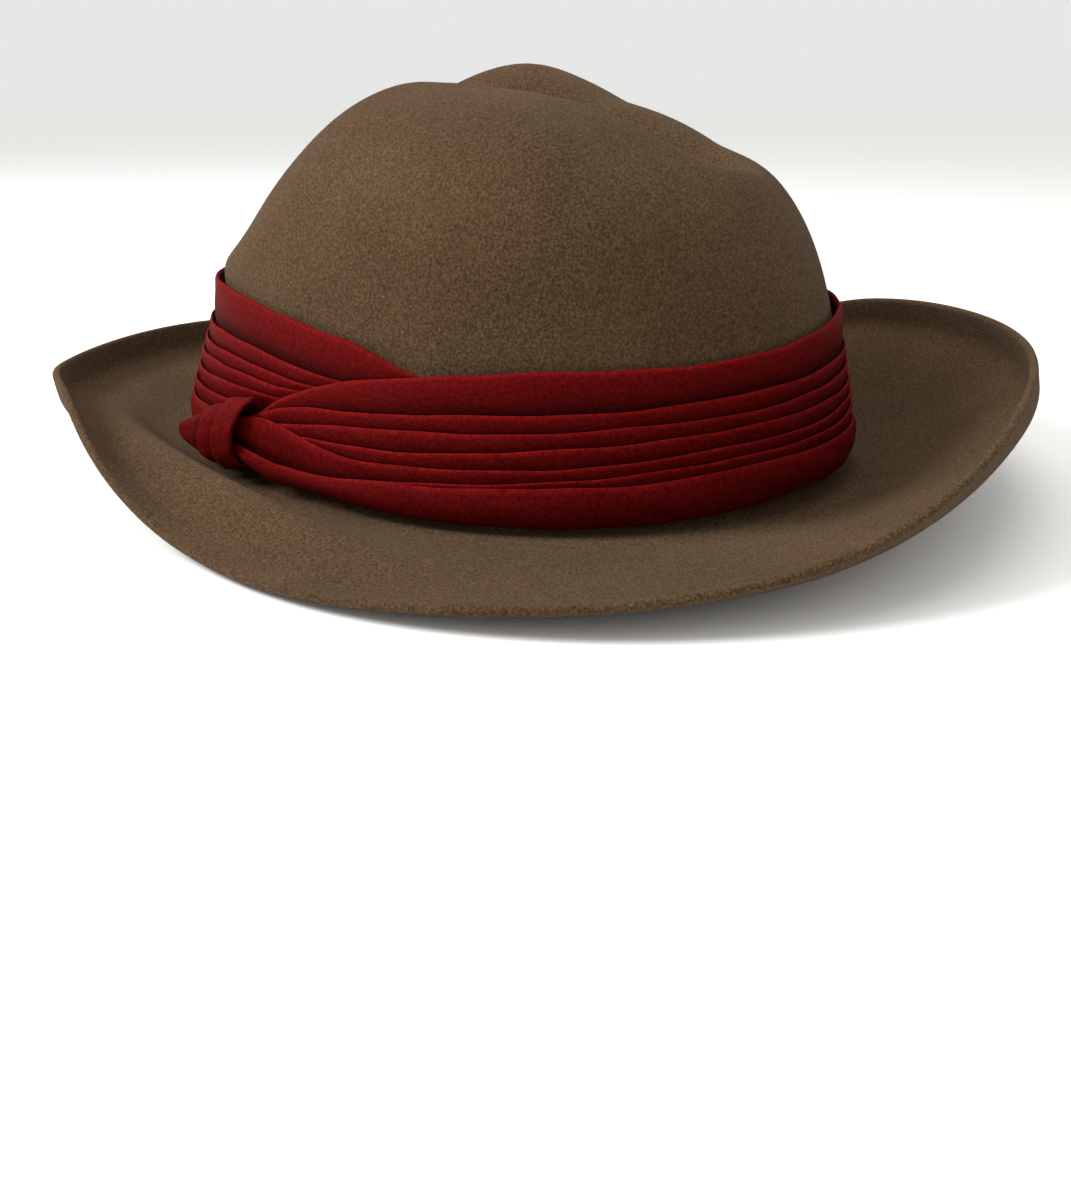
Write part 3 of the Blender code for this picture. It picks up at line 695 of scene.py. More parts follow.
def pleat_section(top, folds, bottom):
    """(height, outset, fold) of the strip's cross-section, in millimetres, from hem to hem.

    fold is 1 deep in a pleat and behind the lower hem, rises towards that hem, is 0 on the open face and -1
    along the pressed edges; the crepe finish turns it into painted shade where it is above 0 and a painted
    highlight where it is below 0.
    """
    path = [(top - 5.0, 0.15, 0), (top - 2.5, 0.15, 0), (top - 0.6, 0.25, 0), (top, 0.55, -0.6)]
    path += [(top - 0.1, 1.0, -0.8), (top - 0.9, FACE, -0.1)]
    high, out_high = top - 0.9, FACE
    for number, fold in enumerate(folds, 1):
        out_low, out_edge = 0.05 + PLEAT_STEP * (number - 1), FACE + PLEAT_STEP * number
        low = min(fold, high) - UNDERLAP
        for share, depth in ((0.2, 0.0), (0.4, 0.1), (0.6, 0.4), (0.8, 0.9)):
            swell = 0.42 * math.sin(math.pi * share) * min(1.0, (high - low) / 9)
            outset = out_high + (out_low - out_high) * share**1.4 + swell
            path.append((high + (low - high) * share, outset, depth))
        path += [(low, out_low + 0.02, 1), (low - 0.2, out_low + 0.17, 1), (low, out_low + 0.34, 1)]
        path += [((low + fold) / 2, (out_low + out_edge) / 2 + 0.05, 1), (fold - 0.5, out_edge - 0.34, 0.5)]
        path += [(fold - 0.08, out_edge - 0.2, -0.6), (fold, out_edge, -1)]
        path += [(fold - 0.22, out_edge + 0.16, -0.6)]
        high, out_high = fold - 0.22, out_edge + 0.16
    for share, depth in ((0.15, 0.0), (0.3, 0.05), (0.45, 0.1), (0.6, 0.2), (0.75, 0.3), (0.9, 0.4)):
        swell = 0.9 * math.sin(math.pi * share)
        path.append((high + (bottom + 0.7 - high) * share, out_high - 0.5 * share + swell, depth))
    path += [(bottom + 0.3, out_high - 0.75, 0.3), (bottom, out_high - 1.3, 0.3)]
    path += [(bottom + 0.2, out_high - 2.0, 0.6), (bottom + 1.2, 0.9, 1)]
    path += [(bottom + 3.0, 0.2, 1), (bottom + 5.0, 0.15, 1)]
    return np.array(path)


burgundy = crepe_finish("burgundy crepe", (0.066, 0.0009, 0.0010), (0.150, 0.0034, 0.0036))
degrees = np.arange(STRIP_START, STRIP_END, STATION_STEP)
softly = np.hanning(9) / np.hanning(9).sum()


def band_height(table, offset):
    """A band edge or fold at every station, eased, with the slight wander of hand-pressed pleats."""
    fine = np.interp(degrees, BAND_DEGREES, table)
    fine = np.convolve(np.pad(fine, 4, mode="edge"), softly, mode="valid")
    turn = np.radians(degrees)
    return fine + 0.16 * np.sin(9 * turn + 2.1 * offset) + 0.10 * np.sin(23 * turn + 3.7 * offset)


top_line, bottom_line = band_height(BAND_TOP, 0), band_height(BAND_BOTTOM, 9)
fold_lines = [band_height(table, number) for number, table in enumerate(PLEAT_FOLDS, 1)]
stations, painted_fold_light = [], []
for place, degree in enumerate(degrees):
    section = pleat_section(top_line[place], [line[place] for line in fold_lines], bottom_line[place])
    z, out = section[:, 0], section[:, 1]
    painted_fold_light.append(section[:, 2])
    turn, at_start = math.radians(degree), degree < 100
    # The end of the strip is pressed flat where it lies under its own start.
    over = np.interp(degree - 360, degrees, top_line) if degree > OVER_START else -50.0
    pressed = 1 - END_PRESS * (1 - smooth(over - 1.5, over + 3.5, z)) * smooth(424, 438, degree)
    lifted = FRONT_LIFT * (1 - smooth(118, 150, degree))
    flare = HEM_FLARE * math.exp((math.cos(turn - FLARE_ANGLE) - 1) / FLARE_SPREAD)
    flare = flare * (1 - smooth(15, 52, z)) * (degree > 250)
    gathered = (1 - smooth(72, 84, degree)) * at_start
    z = z + (KNOT_MOUTH - z) * START_GATHER * gathered
    out = BAND_CLEAR + lifted + out * pressed + flare * pressed
    out = out + START_LIFT * (1 - smooth(73, 88, degree)) * at_start
    out = out + 0.10 * np.sin(turn * 13 + z * 0.5) + 0.07 * np.sin(turn * 31 + z * 0.9)
    stations.append(wall(np.full(len(z), turn), z / 1000, out / 1000))
# The fold values go onto the band as painted shade in its pleats and a painted highlight on their pressed
# edges.
band = cloth_grid("band", np.array(stations), burgundy, CREPE / 1000, fold=np.array(painted_fold_light))[0]
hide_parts("pleated_band")
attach(band, "root")

# --- knot and tail --------------------------------------------------------------------------------
# The same crepe wrapped round the start of the band in two overlapping folds, with its end left out
# as a blunt cone beyond them. Both are tubes of cloth along the crown, with their folds facing the tip.
KNOT_SHARES = (0.0, 0.2, 0.4, 0.6, 0.8, 0.93, 1.0)
KNOT_HALF_HEIGHT = (9.6, 9.4, 8.1, 6.2, 4.2, 2.6, 1.2)
KNOT_HALF_DEPTH = (5.2, 4.9, 4.4, 3.7, 2.8, 1.9, 0.9)
WRAP_DEGREES, TIP_DEGREES = 76.5, 52.5
WRAP_HEIGHT, TIP_HEIGHT = 19.8, 12.4
WRAP_OUTSET, TIP_OUTSET = 8.8, 14.2
# Painted shade for the knot: its colour is darkened where a ring is drawn in below its fold, in creases, at
# the tucked ends and at the tip.
KNOT_CREASE = 0.12          # a crease this much smaller than its fold is fully dark
KNOT_CREPE = 0.4            # thickness of the gathered crepe


def knot_ring(share, scale, turn):
    """One ring of the knot: share runs from the wrap's edge to the tip, turn round the cloth tube."""
    high, inward = np.sin(turn), np.clip(share, 0, 1)
    half_height = scale * np.interp(share, KNOT_SHARES, KNOT_HALF_HEIGHT)
    half_depth = scale * np.interp(share, KNOT_SHARES, KNOT_HALF_DEPTH)
    lean = (1.4 * high - 0.6 * (1 - high**2)) * (1 - inward) ** 0.5
    degree = WRAP_DEGREES + (TIP_DEGREES - WRAP_DEGREES) * share + lean
    z = WRAP_HEIGHT + (TIP_HEIGHT - WRAP_HEIGHT) * inward**0.9 + half_height * high
    out = WRAP_OUTSET + (TIP_OUTSET - WRAP_OUTSET) * share + half_depth * np.cos(turn)
    return wall(np.radians(degree), z / 1000, out / 1000)


def knot_tube(name, path, grooves, groove_depth):
    """A cloth tube through (share, scale) rings, with shallow gathers that run along it and painted shade
    where its rings are drawn in.
    """
    turn = np.linspace(0, 2 * np.pi, 97)
    rings = []
    for share, scale in path:
        gather = 1 + groove_depth * np.cos(grooves * turn + 4 * share) + 0.012 * np.sin(9 * turn + 6 * share)
        rings.append(knot_ring(np.full(len(turn), share), scale * gather, turn))
    grid = np.array(rings)
    grid[:, -1] = grid[:, 0]
    # Painted shade: rings drawn in below their fold, in the creases, the tucked ends and towards the tip, are
    # darkened in colour.
    sunk = np.clip([(1.0 - scale) / KNOT_CREASE for share, scale in path], 0, 1)
    piece, flat = cloth_grid(name, grid, burgundy, KNOT_CREPE / 1000, fold=np.repeat(sunk, len(turn)))
    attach(piece, "root")
    return piece, flat


def fold_over(first, edge, scale):
    """(share, scale) points of one fold, from first out to its edge, which stands proud and turns under."""
    path = []
    for part, sunk in ((0.0, 0.27), (0.10, 0.24), (0.20, 0.16), (0.34, 0.07), (0.55, 0.015), (0.78, 0.0)):
        path.append((first + (edge - first) * part, scale - sunk))
    return path + [(edge - 0.012, scale + 0.006), (edge, scale - 0.02), (edge - 0.010, scale - 0.08)]


wrap_path = [(0.12, 0.70), (0.07, 0.82), (0.03, 0.92), (0.004, 0.99), (-0.010, 1.04)]
wrap_path += [(0.03, 1.08)] + fold_over(0.0, 0.235, 1.13)[3:] + [(0.21, 0.90)]
wrap_path += fold_over(0.225, 0.455, 1.09) + [(0.42, 0.84)]
tail_path = [(0.38, 0.66), (0.44, 0.74), (0.475, 0.84), (0.51, 0.94)]
tail_path += [(share, 0.98) for share in (0.54, 0.62, 0.70, 0.78, 0.85, 0.91, 0.96)]
tail_path += [(0.985, 0.93), (1.0, 0.75), (1.004, 0.45), (1.004, 0.12)]
wrap, wrap_flat = knot_tube("knot", wrap_path, 4, 0.012)
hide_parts("knot_wrap")
tail, tail_flat = knot_tube("tail", tail_path, 5, 0.030)
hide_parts("knot_tail")

# --- stay ribbon and tacks ------------------------------------------------------------------------
# The stiff grosgrain ribbon under the pleats and the hand stitches that hold them both to the felt.
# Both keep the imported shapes.
def ribbed_finish(name, colour, ribs_per_metre, roughness):
    """Ribbon or thread: a plain colour with fine cords across it."""
    material = bpy.data.materials.new(name)
    material.use_nodes = True
    nodes, links = material.node_tree.nodes, material.node_tree.links
    nodes.clear()
    output = nodes.new("ShaderNodeOutputMaterial")
    output.label = name
    shader = nodes.new("ShaderNodeBsdfPrincipled")
    shader.label = "yarn"
    place = nodes.new("ShaderNodeTexCoord")
    place.label = "place on the hat"
    cords = nodes.new("ShaderNodeTexWave")
    cords.label = "cords"
    slub = nodes.new("ShaderNodeTexNoise")
    slub.label = "uneven yarn"
    tone = nodes.new("ShaderNodeMix")
    tone.label = "yarn colour"
    relief = nodes.new("ShaderNodeBump")
    relief.label = "cord relief"
    yarn = nodes.new("NodeFrame")
    yarn.label = "yarn colour and relief"
    for node in (cords, slub, tone, relief):
        node.parent = yarn
    layout = ((output, 600, 0), (shader, 300, 0), (place, -900, 0), (cords, -600, -200),
              (slub, -600, 200), (tone, -200, 150), (relief, -200, -200))
    for node, x, y in layout:
        node.location = (x, y)
    cords.bands_direction = "Z"
    cords.inputs["Scale"].default_value = ribs_per_metre / 3
    slub.inputs["Scale"].default_value = 900.0
    tone.data_type = "RGBA"
    tone.inputs["A"].default_value = (*(0.75 * part for part in colour), 1)
    tone.inputs["B"].default_value = (*(1.25 * part for part in colour), 1)
    relief.inputs["Strength"].default_value = 0.5
    relief.inputs["Distance"].default_value = 0.0002
    shader.inputs["Roughness"].default_value = roughness
    links.new(place.outputs["Object"], cords.inputs["Vector"])
    links.new(place.outputs["Object"], slub.inputs["Vector"])
    links.new(slub.outputs["Fac"], tone.inputs["Factor"])
    links.new(cords.outputs["Fac"], relief.inputs["Height"])
    links.new(tone.outputs["Result"], shader.inputs["Base Color"])
    links.new(relief.outputs["Normal"], shader.inputs["Normal"])
    links.new(shader.outputs["BSDF"], output.inputs["Surface"])
    return material


grosgrain = ribbed_finish("grosgrain", (0.085, 0.012, 0.012), 1400, 0.7)
thread = ribbed_finish("burgundy thread", (0.09, 0.006, 0.006), 4000, 0.6)
for name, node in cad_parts.items():
    if name == "band_stay" or name.startswith("band_tack"):
        for piece in (node if isinstance(node, (list, tuple)) else [node]):
            piece.data.materials.clear()
            piece.data.materials.append(grosgrain if name == "band_stay" else thread)

# --- sweatband ------------------------------------------------------------------------------------
# Tan leather strip against the wearer's head. Its top edge is rounded off, and its lower edge is
# sewn to the felt over a plastic reed.
SWEATBAND_TOP, SWEAT_BOTTOM, SWEATBAND = 0.036, 0.0045, 0.0012
GAP = 0.0003
SWEAT_OUTER = -FELT - 6 * GAP
REED_RADIUS = 0.0008
RING_COLUMNS = 240


def leather_finish():
    """Smooth tan leather: fine pebbled grain, creases and a darker, handled tone in places."""
    material = bpy.data.materials.new("sweatband leather")
    material.use_nodes = True
    nodes, links = material.node_tree.nodes, material.node_tree.links
    nodes.clear()
    output = nodes.new("ShaderNodeOutputMaterial")
    output.label = "leather"
    shader = nodes.new("ShaderNodeBsdfPrincipled")
    shader.label = "hide"
    place = nodes.new("ShaderNodeTexCoord")
    place.label = "place on the hat"
    pebbles = nodes.new("ShaderNodeTexVoronoi")
    pebbles.label = "grain"
    handled = nodes.new("ShaderNodeTexNoise")
    handled.label = "handling"
    tone = nodes.new("ShaderNodeValToRGB")
    tone.label = "tan tones"
    gloss = nodes.new("ShaderNodeMapRange")
    gloss.label = "polished where handled"
    creases = nodes.new("ShaderNodeTexNoise")
    creases.label = "creases"
    grain = nodes.new("ShaderNodeBump")
    grain.label = "grain relief"
    creased = nodes.new("ShaderNodeBump")
    creased.label = "crease relief"
    hide = nodes.new("NodeFrame")
    hide.label = "hide colour"
    relief = nodes.new("NodeFrame")
    relief.label = "hide relief"
    for node in (handled, tone, gloss):
        node.parent = hide
    for node in (pebbles, creases, grain, creased):
        node.parent = relief
    layout = ((output, 700, 0), (shader, 400, 0), (place, -1000, 0), (pebbles, -700, -300),
              (handled, -700, 250), (tone, -350, 300), (gloss, -350, 0), (creases, -700, -600),
              (creased, -350, -500), (grain, 50, -300))
    for node, x, y in layout:
        node.location = (x, y)
    pebbles.inputs["Scale"].default_value = 1300.0
    handled.inputs["Scale"].default_value = 30.0
    handled.inputs["Detail"].default_value = 4.0
    tone.color_ramp.elements[0].position = 0.3
    tone.color_ramp.elements[0].color = (0.17, 0.085, 0.040, 1)
    tone.color_ramp.elements[1].position = 0.7
    tone.color_ramp.elements[1].color = (0.30, 0.165, 0.085, 1)
    gloss.inputs["To Min"].default_value = 0.38
    gloss.inputs["To Max"].default_value = 0.60
    creases.inputs["Scale"].default_value = 160.0
    creases.inputs["Detail"].default_value = 5.0
    creased.inputs["Strength"].default_value = 0.25
    creased.inputs["Distance"].default_value = 0.0004
    grain.inputs["Strength"].default_value = 0.35
    grain.inputs["Distance"].default_value = 0.00012
    for texture in (pebbles, handled, creases):
        links.new(place.outputs["Object"], texture.inputs["Vector"])
    links.new(handled.outputs["Fac"], tone.inputs["Fac"])
    links.new(handled.outputs["Fac"], gloss.inputs["Value"])
    links.new(creases.outputs["Fac"], creased.inputs["Height"])
    links.new(pebbles.outputs["Distance"], grain.inputs["Height"])
    links.new(creased.outputs["Normal"], grain.inputs["Normal"])
    links.new(tone.outputs["Color"], shader.inputs["Base Color"])
    links.new(gloss.outputs["Result"], shader.inputs["Roughness"])
    links.new(grain.outputs["Normal"], shader.inputs["Normal"])
    links.new(shader.outputs["BSDF"], output.inputs["Surface"])
    return material


def closed_ring(name, section, finish):
    """A ring on the crown's wall from one closed section of (height, outset)."""
    turn = np.arange(RING_COLUMNS) * 2 * np.pi / RING_COLUMNS
    count = len(section)
    rows = np.stack([wall(turn, z, outset) for z, outset in section], 1)
    faces = []
    for s in range(RING_COLUMNS):
        here, there = s * count, (s + 1) % RING_COLUMNS * count
        for k in range(count):
            faces.append((here + k, here + (k + 1) % count, there + (k + 1) % count, there + k))
    return new_mesh(name, rows, faces, finish)


leather = leather_finish()
sweat_middle = SWEAT_OUTER - SWEATBAND / 2
band_section = []
for z in np.linspace(SWEAT_BOTTOM + 0.0003, SWEATBAND_TOP - 0.0006, 20):
    swell = 0.00015 * math.sin((z - SWEAT_BOTTOM) * 400)
    band_section.append((z, sweat_middle - SWEATBAND / 2 + swell * 0.5))
for turn in np.linspace(-math.pi / 2, math.pi / 2, 7)[1:-1]:
    place = sweat_middle + SWEATBAND / 2 * math.sin(turn)
    band_section.append((SWEATBAND_TOP - 0.0006 + 0.0006 * math.cos(turn), place))
for z in np.linspace(SWEATBAND_TOP - 0.0006, SWEAT_BOTTOM + 0.0003, 12):
    band_section.append((z, sweat_middle + SWEATBAND / 2))
sweatband = closed_ring("sweatband_leather", band_section, leather)
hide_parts("sweatband")
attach(sweatband, "root")


def plastic_finish(name, colour, roughness):
    """Moulded plastic with a faint haze of scuffs."""
    material = bpy.data.materials.new(name)
    material.use_nodes = True
    nodes, links = material.node_tree.nodes, material.node_tree.links
    nodes.clear()
    output = nodes.new("ShaderNodeOutputMaterial")
    output.label = name
    shader = nodes.new("ShaderNodeBsdfPrincipled")
    shader.label = "plastic"
    place = nodes.new("ShaderNodeTexCoord")
    place.label = "place on the hat"
    haze = nodes.new("ShaderNodeTexNoise")
    haze.label = "scuffs"
    gloss = nodes.new("ShaderNodeMapRange")
    gloss.label = "scuffed gloss"
    for node, x, y in ((output, 500, 0), (shader, 200, 0), (place, -700, 0), (haze, -450, 0),
                       (gloss, -150, 0)):
        node.location = (x, y)
    haze.inputs["Scale"].default_value = 250.0
    gloss.inputs["To Min"].default_value = roughness - 0.1
    gloss.inputs["To Max"].default_value = roughness + 0.1
    shader.inputs["Base Color"].default_value = (*colour, 1)
    links.new(place.outputs["Object"], haze.inputs["Vector"])
    links.new(haze.outputs["Fac"], gloss.inputs["Value"])
    links.new(gloss.outputs["Result"], shader.inputs["Roughness"])
    links.new(shader.outputs["BSDF"], output.inputs["Surface"])
    return material


reed_section = []
for turn in np.arange(12) * 2 * np.pi / 12:
    z = SWEAT_BOTTOM - GAP - REED_RADIUS * (1 + math.sin(turn))
    reed_section.append((z, sweat_middle + REED_RADIUS * math.cos(turn)))
reed = closed_ring("reed", reed_section, plastic_finish("reed plastic", (0.35, 0.30, 0.22), 0.45))
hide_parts("sweatband_reed")
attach(reed, "root")

# --- sweatband stitches ---------------------------------------------------------------------------
# Two rows of tan machine stitches in the leather: one that sews it down over the reed, and one
# along its rounded top edge.
def stitch_tree(thread_finish):
    """Even stitches, one thread thick, along the edges of a mesh."""
    tree = bpy.data.node_groups.new("stitches", "GeometryNodeTree")
    nodes, links = tree.nodes, tree.links
    interface = tree.interface
    interface.new_socket("Geometry", in_out="OUTPUT", socket_type="NodeSocketGeometry")
    interface.new_socket("Geometry", in_out="INPUT", socket_type="NodeSocketGeometry")
    for label in ("Spacing", "Stitch Length", "Thread Radius"):
        interface.new_socket(label, in_out="INPUT", socket_type="NodeSocketFloat")
    start = nodes.new("NodeGroupInput")
    start.label = "seam line and stitch sizes"
    seam = nodes.new("GeometryNodeMeshToCurve")
    seam.label = "seam as a curve"
    evenly = nodes.new("GeometryNodeResampleCurve")
    evenly.label = "one place for each stitch"
    along = nodes.new("GeometryNodeInputTangent")
    along.label = "way the seam runs"
    facing = nodes.new("FunctionNodeAlignRotationToVector")
    facing.label = "stitch along the seam"
    stitch = nodes.new("GeometryNodeMeshUVSphere")
    stitch.label = "one stitch, round"
    half = nodes.new("ShaderNodeMath")
    half.label = "half a stitch"
    longer = nodes.new("ShaderNodeMath")
    longer.label = "longer than thick"
    sizes = nodes.new("ShaderNodeCombineXYZ")
    sizes.label = "stretched along"
    shaped = nodes.new("GeometryNodeTransform")
    shaped.label = "one stitch"
    place = nodes.new("GeometryNodeInstanceOnPoints")
    place.label = "stitches on the seam"
    realise = nodes.new("GeometryNodeRealizeInstances")
    realise.label = "plain mesh"
    finish = nodes.new("GeometryNodeSetMaterial")
    finish.label = "thread"
    end = nodes.new("NodeGroupOutput")
    end.label = "stitched seam"
    one = nodes.new("NodeFrame")
    one.label = "one stitch"
    for node in (stitch, half, longer, sizes, shaped):
        node.parent = one
    layout = ((start, -1200, 0), (seam, -900, 200), (evenly, -700, 200), (along, -700, -50),
              (facing, -450, -50), (stitch, -900, -300), (half, -900, -550), (longer, -700, -550),
              (sizes, -500, -500), (shaped, -300, -350), (place, -50, 100), (realise, 150, 100),
              (finish, 350, 100), (end, 550, 100))
    for node, x, y in layout:
        node.location = (x, y)
    evenly.mode = "LENGTH"
    stitch.inputs["Segments"].default_value = 8
    stitch.inputs["Rings"].default_value = 6
    half.operation = "DIVIDE"
    half.inputs[1].default_value = 2.0
    longer.operation = "DIVIDE"
    sizes.inputs["X"].default_value = 1.0
    sizes.inputs["Y"].default_value = 1.0
    finish.inputs["Material"].default_value = thread_finish
    links.new(start.outputs["Geometry"], seam.inputs["Mesh"])
    links.new(seam.outputs["Curve"], evenly.inputs["Curve"])
    links.new(start.outputs["Spacing"], evenly.inputs["Length"])
    links.new(along.outputs["Tangent"], facing.inputs["Vector"])
    links.new(start.outputs["Thread Radius"], stitch.inputs["Radius"])
    links.new(start.outputs["Stitch Length"], half.inputs[0])
    links.new(half.outputs["Value"], longer.inputs[0])
    links.new(start.outputs["Thread Radius"], longer.inputs[1])
    links.new(longer.outputs["Value"], sizes.inputs["Z"])
    links.new(stitch.outputs["Mesh"], shaped.inputs["Geometry"])
    links.new(sizes.outputs["Vector"], shaped.inputs["Scale"])
    links.new(evenly.outputs["Curve"], place.inputs["Points"])
    links.new(shaped.outputs["Geometry"], place.inputs["Instance"])
    links.new(facing.outputs["Rotation"], place.inputs["Rotation"])
    links.new(place.outputs["Instances"], realise.inputs["Geometry"])
    links.new(realise.outputs["Geometry"], finish.inputs["Geometry"])
    links.new(finish.outputs["Geometry"], end.inputs["Geometry"])
    return tree


tan_thread = ribbed_finish("tan thread", (0.30, 0.19, 0.10), 4000, 0.6)
seam_turn = np.arange(RING_COLUMNS) * 2 * np.pi / RING_COLUMNS
stitching = stitch_tree(tan_thread)
SEAM_INSET = 0.0022          # of each row of stitches from its edge
for name, seam_height in (("reed_stitches", SWEAT_BOTTOM + SEAM_INSET),
                          ("top_edge_stitches", SWEATBAND_TOP - SEAM_INSET)):
    line = bpy.data.meshes.new(name + " seam")
    seam_points = wall(seam_turn, seam_height, SWEAT_OUTER - SWEATBAND - 0.00002) + MIDDLE
    loop_edges = [(k, (k + 1) % RING_COLUMNS) for k in range(RING_COLUMNS)]
    line.from_pydata(seam_points.tolist(), loop_edges, [])
    host = bpy.data.objects.new(name + " seam", line)
    stitches = grown(name, host, stitching, {
        "Spacing": 0.0032, "Stitch Length": 0.0025, "Thread Radius": 0.00022})
    bpy.data.objects.remove(host)
    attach(stitches, "root")

# --- sweatband bow --------------------------------------------------------------------------------
# The small flat ribbon bow over the sweatband's back seam: two loops of two layers and a wrapped
# middle.
BOW_HALF_WIDTH, BOW_HALF_HEIGHT = 0.0105, 0.0046
bow_low, bow_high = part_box("sweatband_bow")
bow_middle = (bow_low + bow_high) / 2


def ribbon_grid(across, along, bulge):
    """Rows of points of one ribbon layer: half widths along a line in X, bulging towards the front."""
    rows = []
    for x, half, depth in zip(along, across, bulge):
        sides = np.linspace(-1, 1, 9)
        rows.append([(x, depth - 0.00012 * math.cos(side * math.pi), half * side) for side in sides])
    return np.array(rows) + np.array(bow_middle)


bow_parts = []
for side in (-1, 1):
    reach = np.linspace(0.0004, BOW_HALF_WIDTH - 0.0003, 14)
    share = reach / BOW_HALF_WIDTH
    half_widths = 0.0015 + (BOW_HALF_HEIGHT - 0.0018) * share**0.8
    front_bulge = -0.00042 * np.sin(np.pi * share**0.8)
    loop_out = np.concatenate([reach, reach[::-1]]) * side
    loop_width = np.concatenate([half_widths, half_widths[::-1] * 0.98])
    loop_depth = np.concatenate([front_bulge, 0.00030 + 0 * front_bulge])
    bow_parts.append(ribbon_grid(loop_width, loop_out, loop_depth))
turn = np.linspace(0, 2 * np.pi, 25)
middle_wrap = []
for degree in turn:
    around_x, around_y = 0.0017 * math.cos(degree), 0.00045 * math.sin(degree) - 0.00005
    middle_wrap.append([(around_x, around_y, 0.0020 * side) for side in np.linspace(-1, 1, 9)])
bow_parts.append(np.array(middle_wrap) + np.array(bow_middle))
points, faces = [], []
for grid in bow_parts:
    first = sum(len(part) for part in points)
    points.append(grid.reshape(-1, 3))
    for s in range(grid.shape[0] - 1):
        a = first + s * grid.shape[1]
        for k in range(grid.shape[1] - 1):
            faces.append((a + k, a + k + 1, a + grid.shape[1] + k + 1, a + grid.shape[1] + k))
bow_ribbon = ribbed_finish("bow ribbon", (0.20, 0.12, 0.065), 1600, 0.5)
bow = new_mesh("bow", np.concatenate(points), faces, bow_ribbon, centred=False)
shell = bow.modifiers.new("ribbon thickness", "SOLIDIFY")
shell.thickness = 0.00022
shell.offset = 0.0
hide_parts("sweatband_bow")
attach(bow, "root")

# --- size label -----------------------------------------------------------------------------------
# A blank woven label on the sweatband at the back.
label_low, label_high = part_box("size_label")
label_size = label_high - label_low
label_rows = []
for along in np.linspace(0, 1, 25):
    fold = 0.00006 * math.cos(2 * math.pi * along)
    x = label_low.x + along * label_size.x
    z_ends = np.linspace(label_low.z, label_high.z, 13)
    label_rows.append([(x, label_low.y + 0.0002 + fold, z) for z in z_ends])
label_cloth = crepe_finish("label cloth", (0.42, 0.38, 0.30), (0.62, 0.58, 0.50))
label, label_flat = cloth_grid("label", np.array(label_rows) - MIDDLE, label_cloth, 0.00025)
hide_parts("size_label")
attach(label, "root")

# --- lining ---------------------------------------------------------------------------------------
# Brown satin inside the crown: a side panel, eased in with soft gathers, and an oval tip sewn to it.
LINING_BOTTOM, LINING_SEAM, LINING_HEIGHT, LINING = 0.012, 0.0745, 0.082, 0.0005
GATHER_DEPTH, SATIN = 0.0009, 0.00025


def dome(turn, z, outset):
    """A point of the lining: against the felt behind the sweatband, then a free dome above it."""
    start = SWEATBAND_TOP + 4 * GAP
    share = np.clip((z - start) / (LINING_HEIGHT - start), 0, 1)
    taper = 1 - TAPER * (z - CROWN_BASE)
    against = oval(turn) * taper - FELT - 2 * GAP - LINING
    radius = against * (1 - share**2.6) ** (1 / 2.6) - 0.003 * share + outset
    return np.stack([radius * np.sin(turn), -radius * np.cos(turn), z + outset * share + 0 * radius], -1)


def satin_finish():
    """Brown satin: smooth warp floats that shine along the cloth, and a fine weave."""
    material = bpy.data.materials.new("lining satin")
    material.use_nodes = True
    nodes, links = material.node_tree.nodes, material.node_tree.links
    nodes.clear()
    output = nodes.new("ShaderNodeOutputMaterial")
    output.label = "satin"
    shader = nodes.new("ShaderNodeBsdfPrincipled")
    shader.label = "cloth"
    place = nodes.new("ShaderNodeUVMap")
    place.label = "place on the cloth, in metres"
    floats = nodes.new("ShaderNodeTexWave")
    floats.label = "warp floats"
    shade = nodes.new("ShaderNodeTexNoise")
    shade.label = "uneven sheen"
    tone = nodes.new("ShaderNodeValToRGB")
    tone.label = "brown tones"
    relief = nodes.new("ShaderNodeBump")
    relief.label = "float relief"
    weave = nodes.new("NodeFrame")
    weave.label = "satin weave"
    for node in (floats, relief):
        node.parent = weave
    layout = ((output, 600, 0), (shader, 300, 0), (place, -900, 0), (floats, -600, -250),
              (shade, -600, 150), (tone, -250, 200), (relief, -250, -200))
    for node, x, y in layout:
        node.location = (x, y)
    floats.inputs["Scale"].default_value = 1100.0
    floats.inputs["Distortion"].default_value = 1.5
    shade.inputs["Scale"].default_value = 45.0
    tone.color_ramp.elements[0].position = 0.3
    tone.color_ramp.elements[0].color = (0.060, 0.036, 0.022, 1)
    tone.color_ramp.elements[1].position = 0.7
    tone.color_ramp.elements[1].color = (0.095, 0.060, 0.038, 1)
    relief.inputs["Strength"].default_value = 0.15
    relief.inputs["Distance"].default_value = 0.0001
    shader.inputs["Roughness"].default_value = 0.34
    shader.inputs["Anisotropic"].default_value = 0.6
    shader.inputs["Sheen Weight"].default_value = 0.2
    links.new(place.outputs["UV"], floats.inputs["Vector"])
    links.new(place.outputs["UV"], shade.inputs["Vector"])
    links.new(shade.outputs["Fac"], tone.inputs["Fac"])
    links.new(floats.outputs["Fac"], relief.inputs["Height"])
    links.new(tone.outputs["Color"], shader.inputs["Base Color"])
    links.new(relief.outputs["Normal"], shader.inputs["Normal"])
    links.new(shader.outputs["BSDF"], output.inputs["Surface"])
    return material


satin = satin_finish()
turns = np.arange(361) * 2 * np.pi / 360
side_rows = []
for turn in turns:
    heights = np.linspace(LINING_BOTTOM, LINING_SEAM, 36)
    free = smooth(SWEATBAND_TOP + 0.002, LINING_SEAM - 0.012, heights)
    gathers = 0.35 * np.sin(17 * turn + heights * 30) + 0.2 * np.sin(41 * turn + heights * 55)
    gathers = gathers * GATHER_DEPTH * free
    side_rows.append(dome(np.full(len(heights), turn), heights, LINING / 2 + gathers - 0.0004 * free))
sides = cloth_grid("lining_side_panel", np.array(side_rows), satin, SATIN)[0]
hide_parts("lining_sides")
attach(sides, "root")

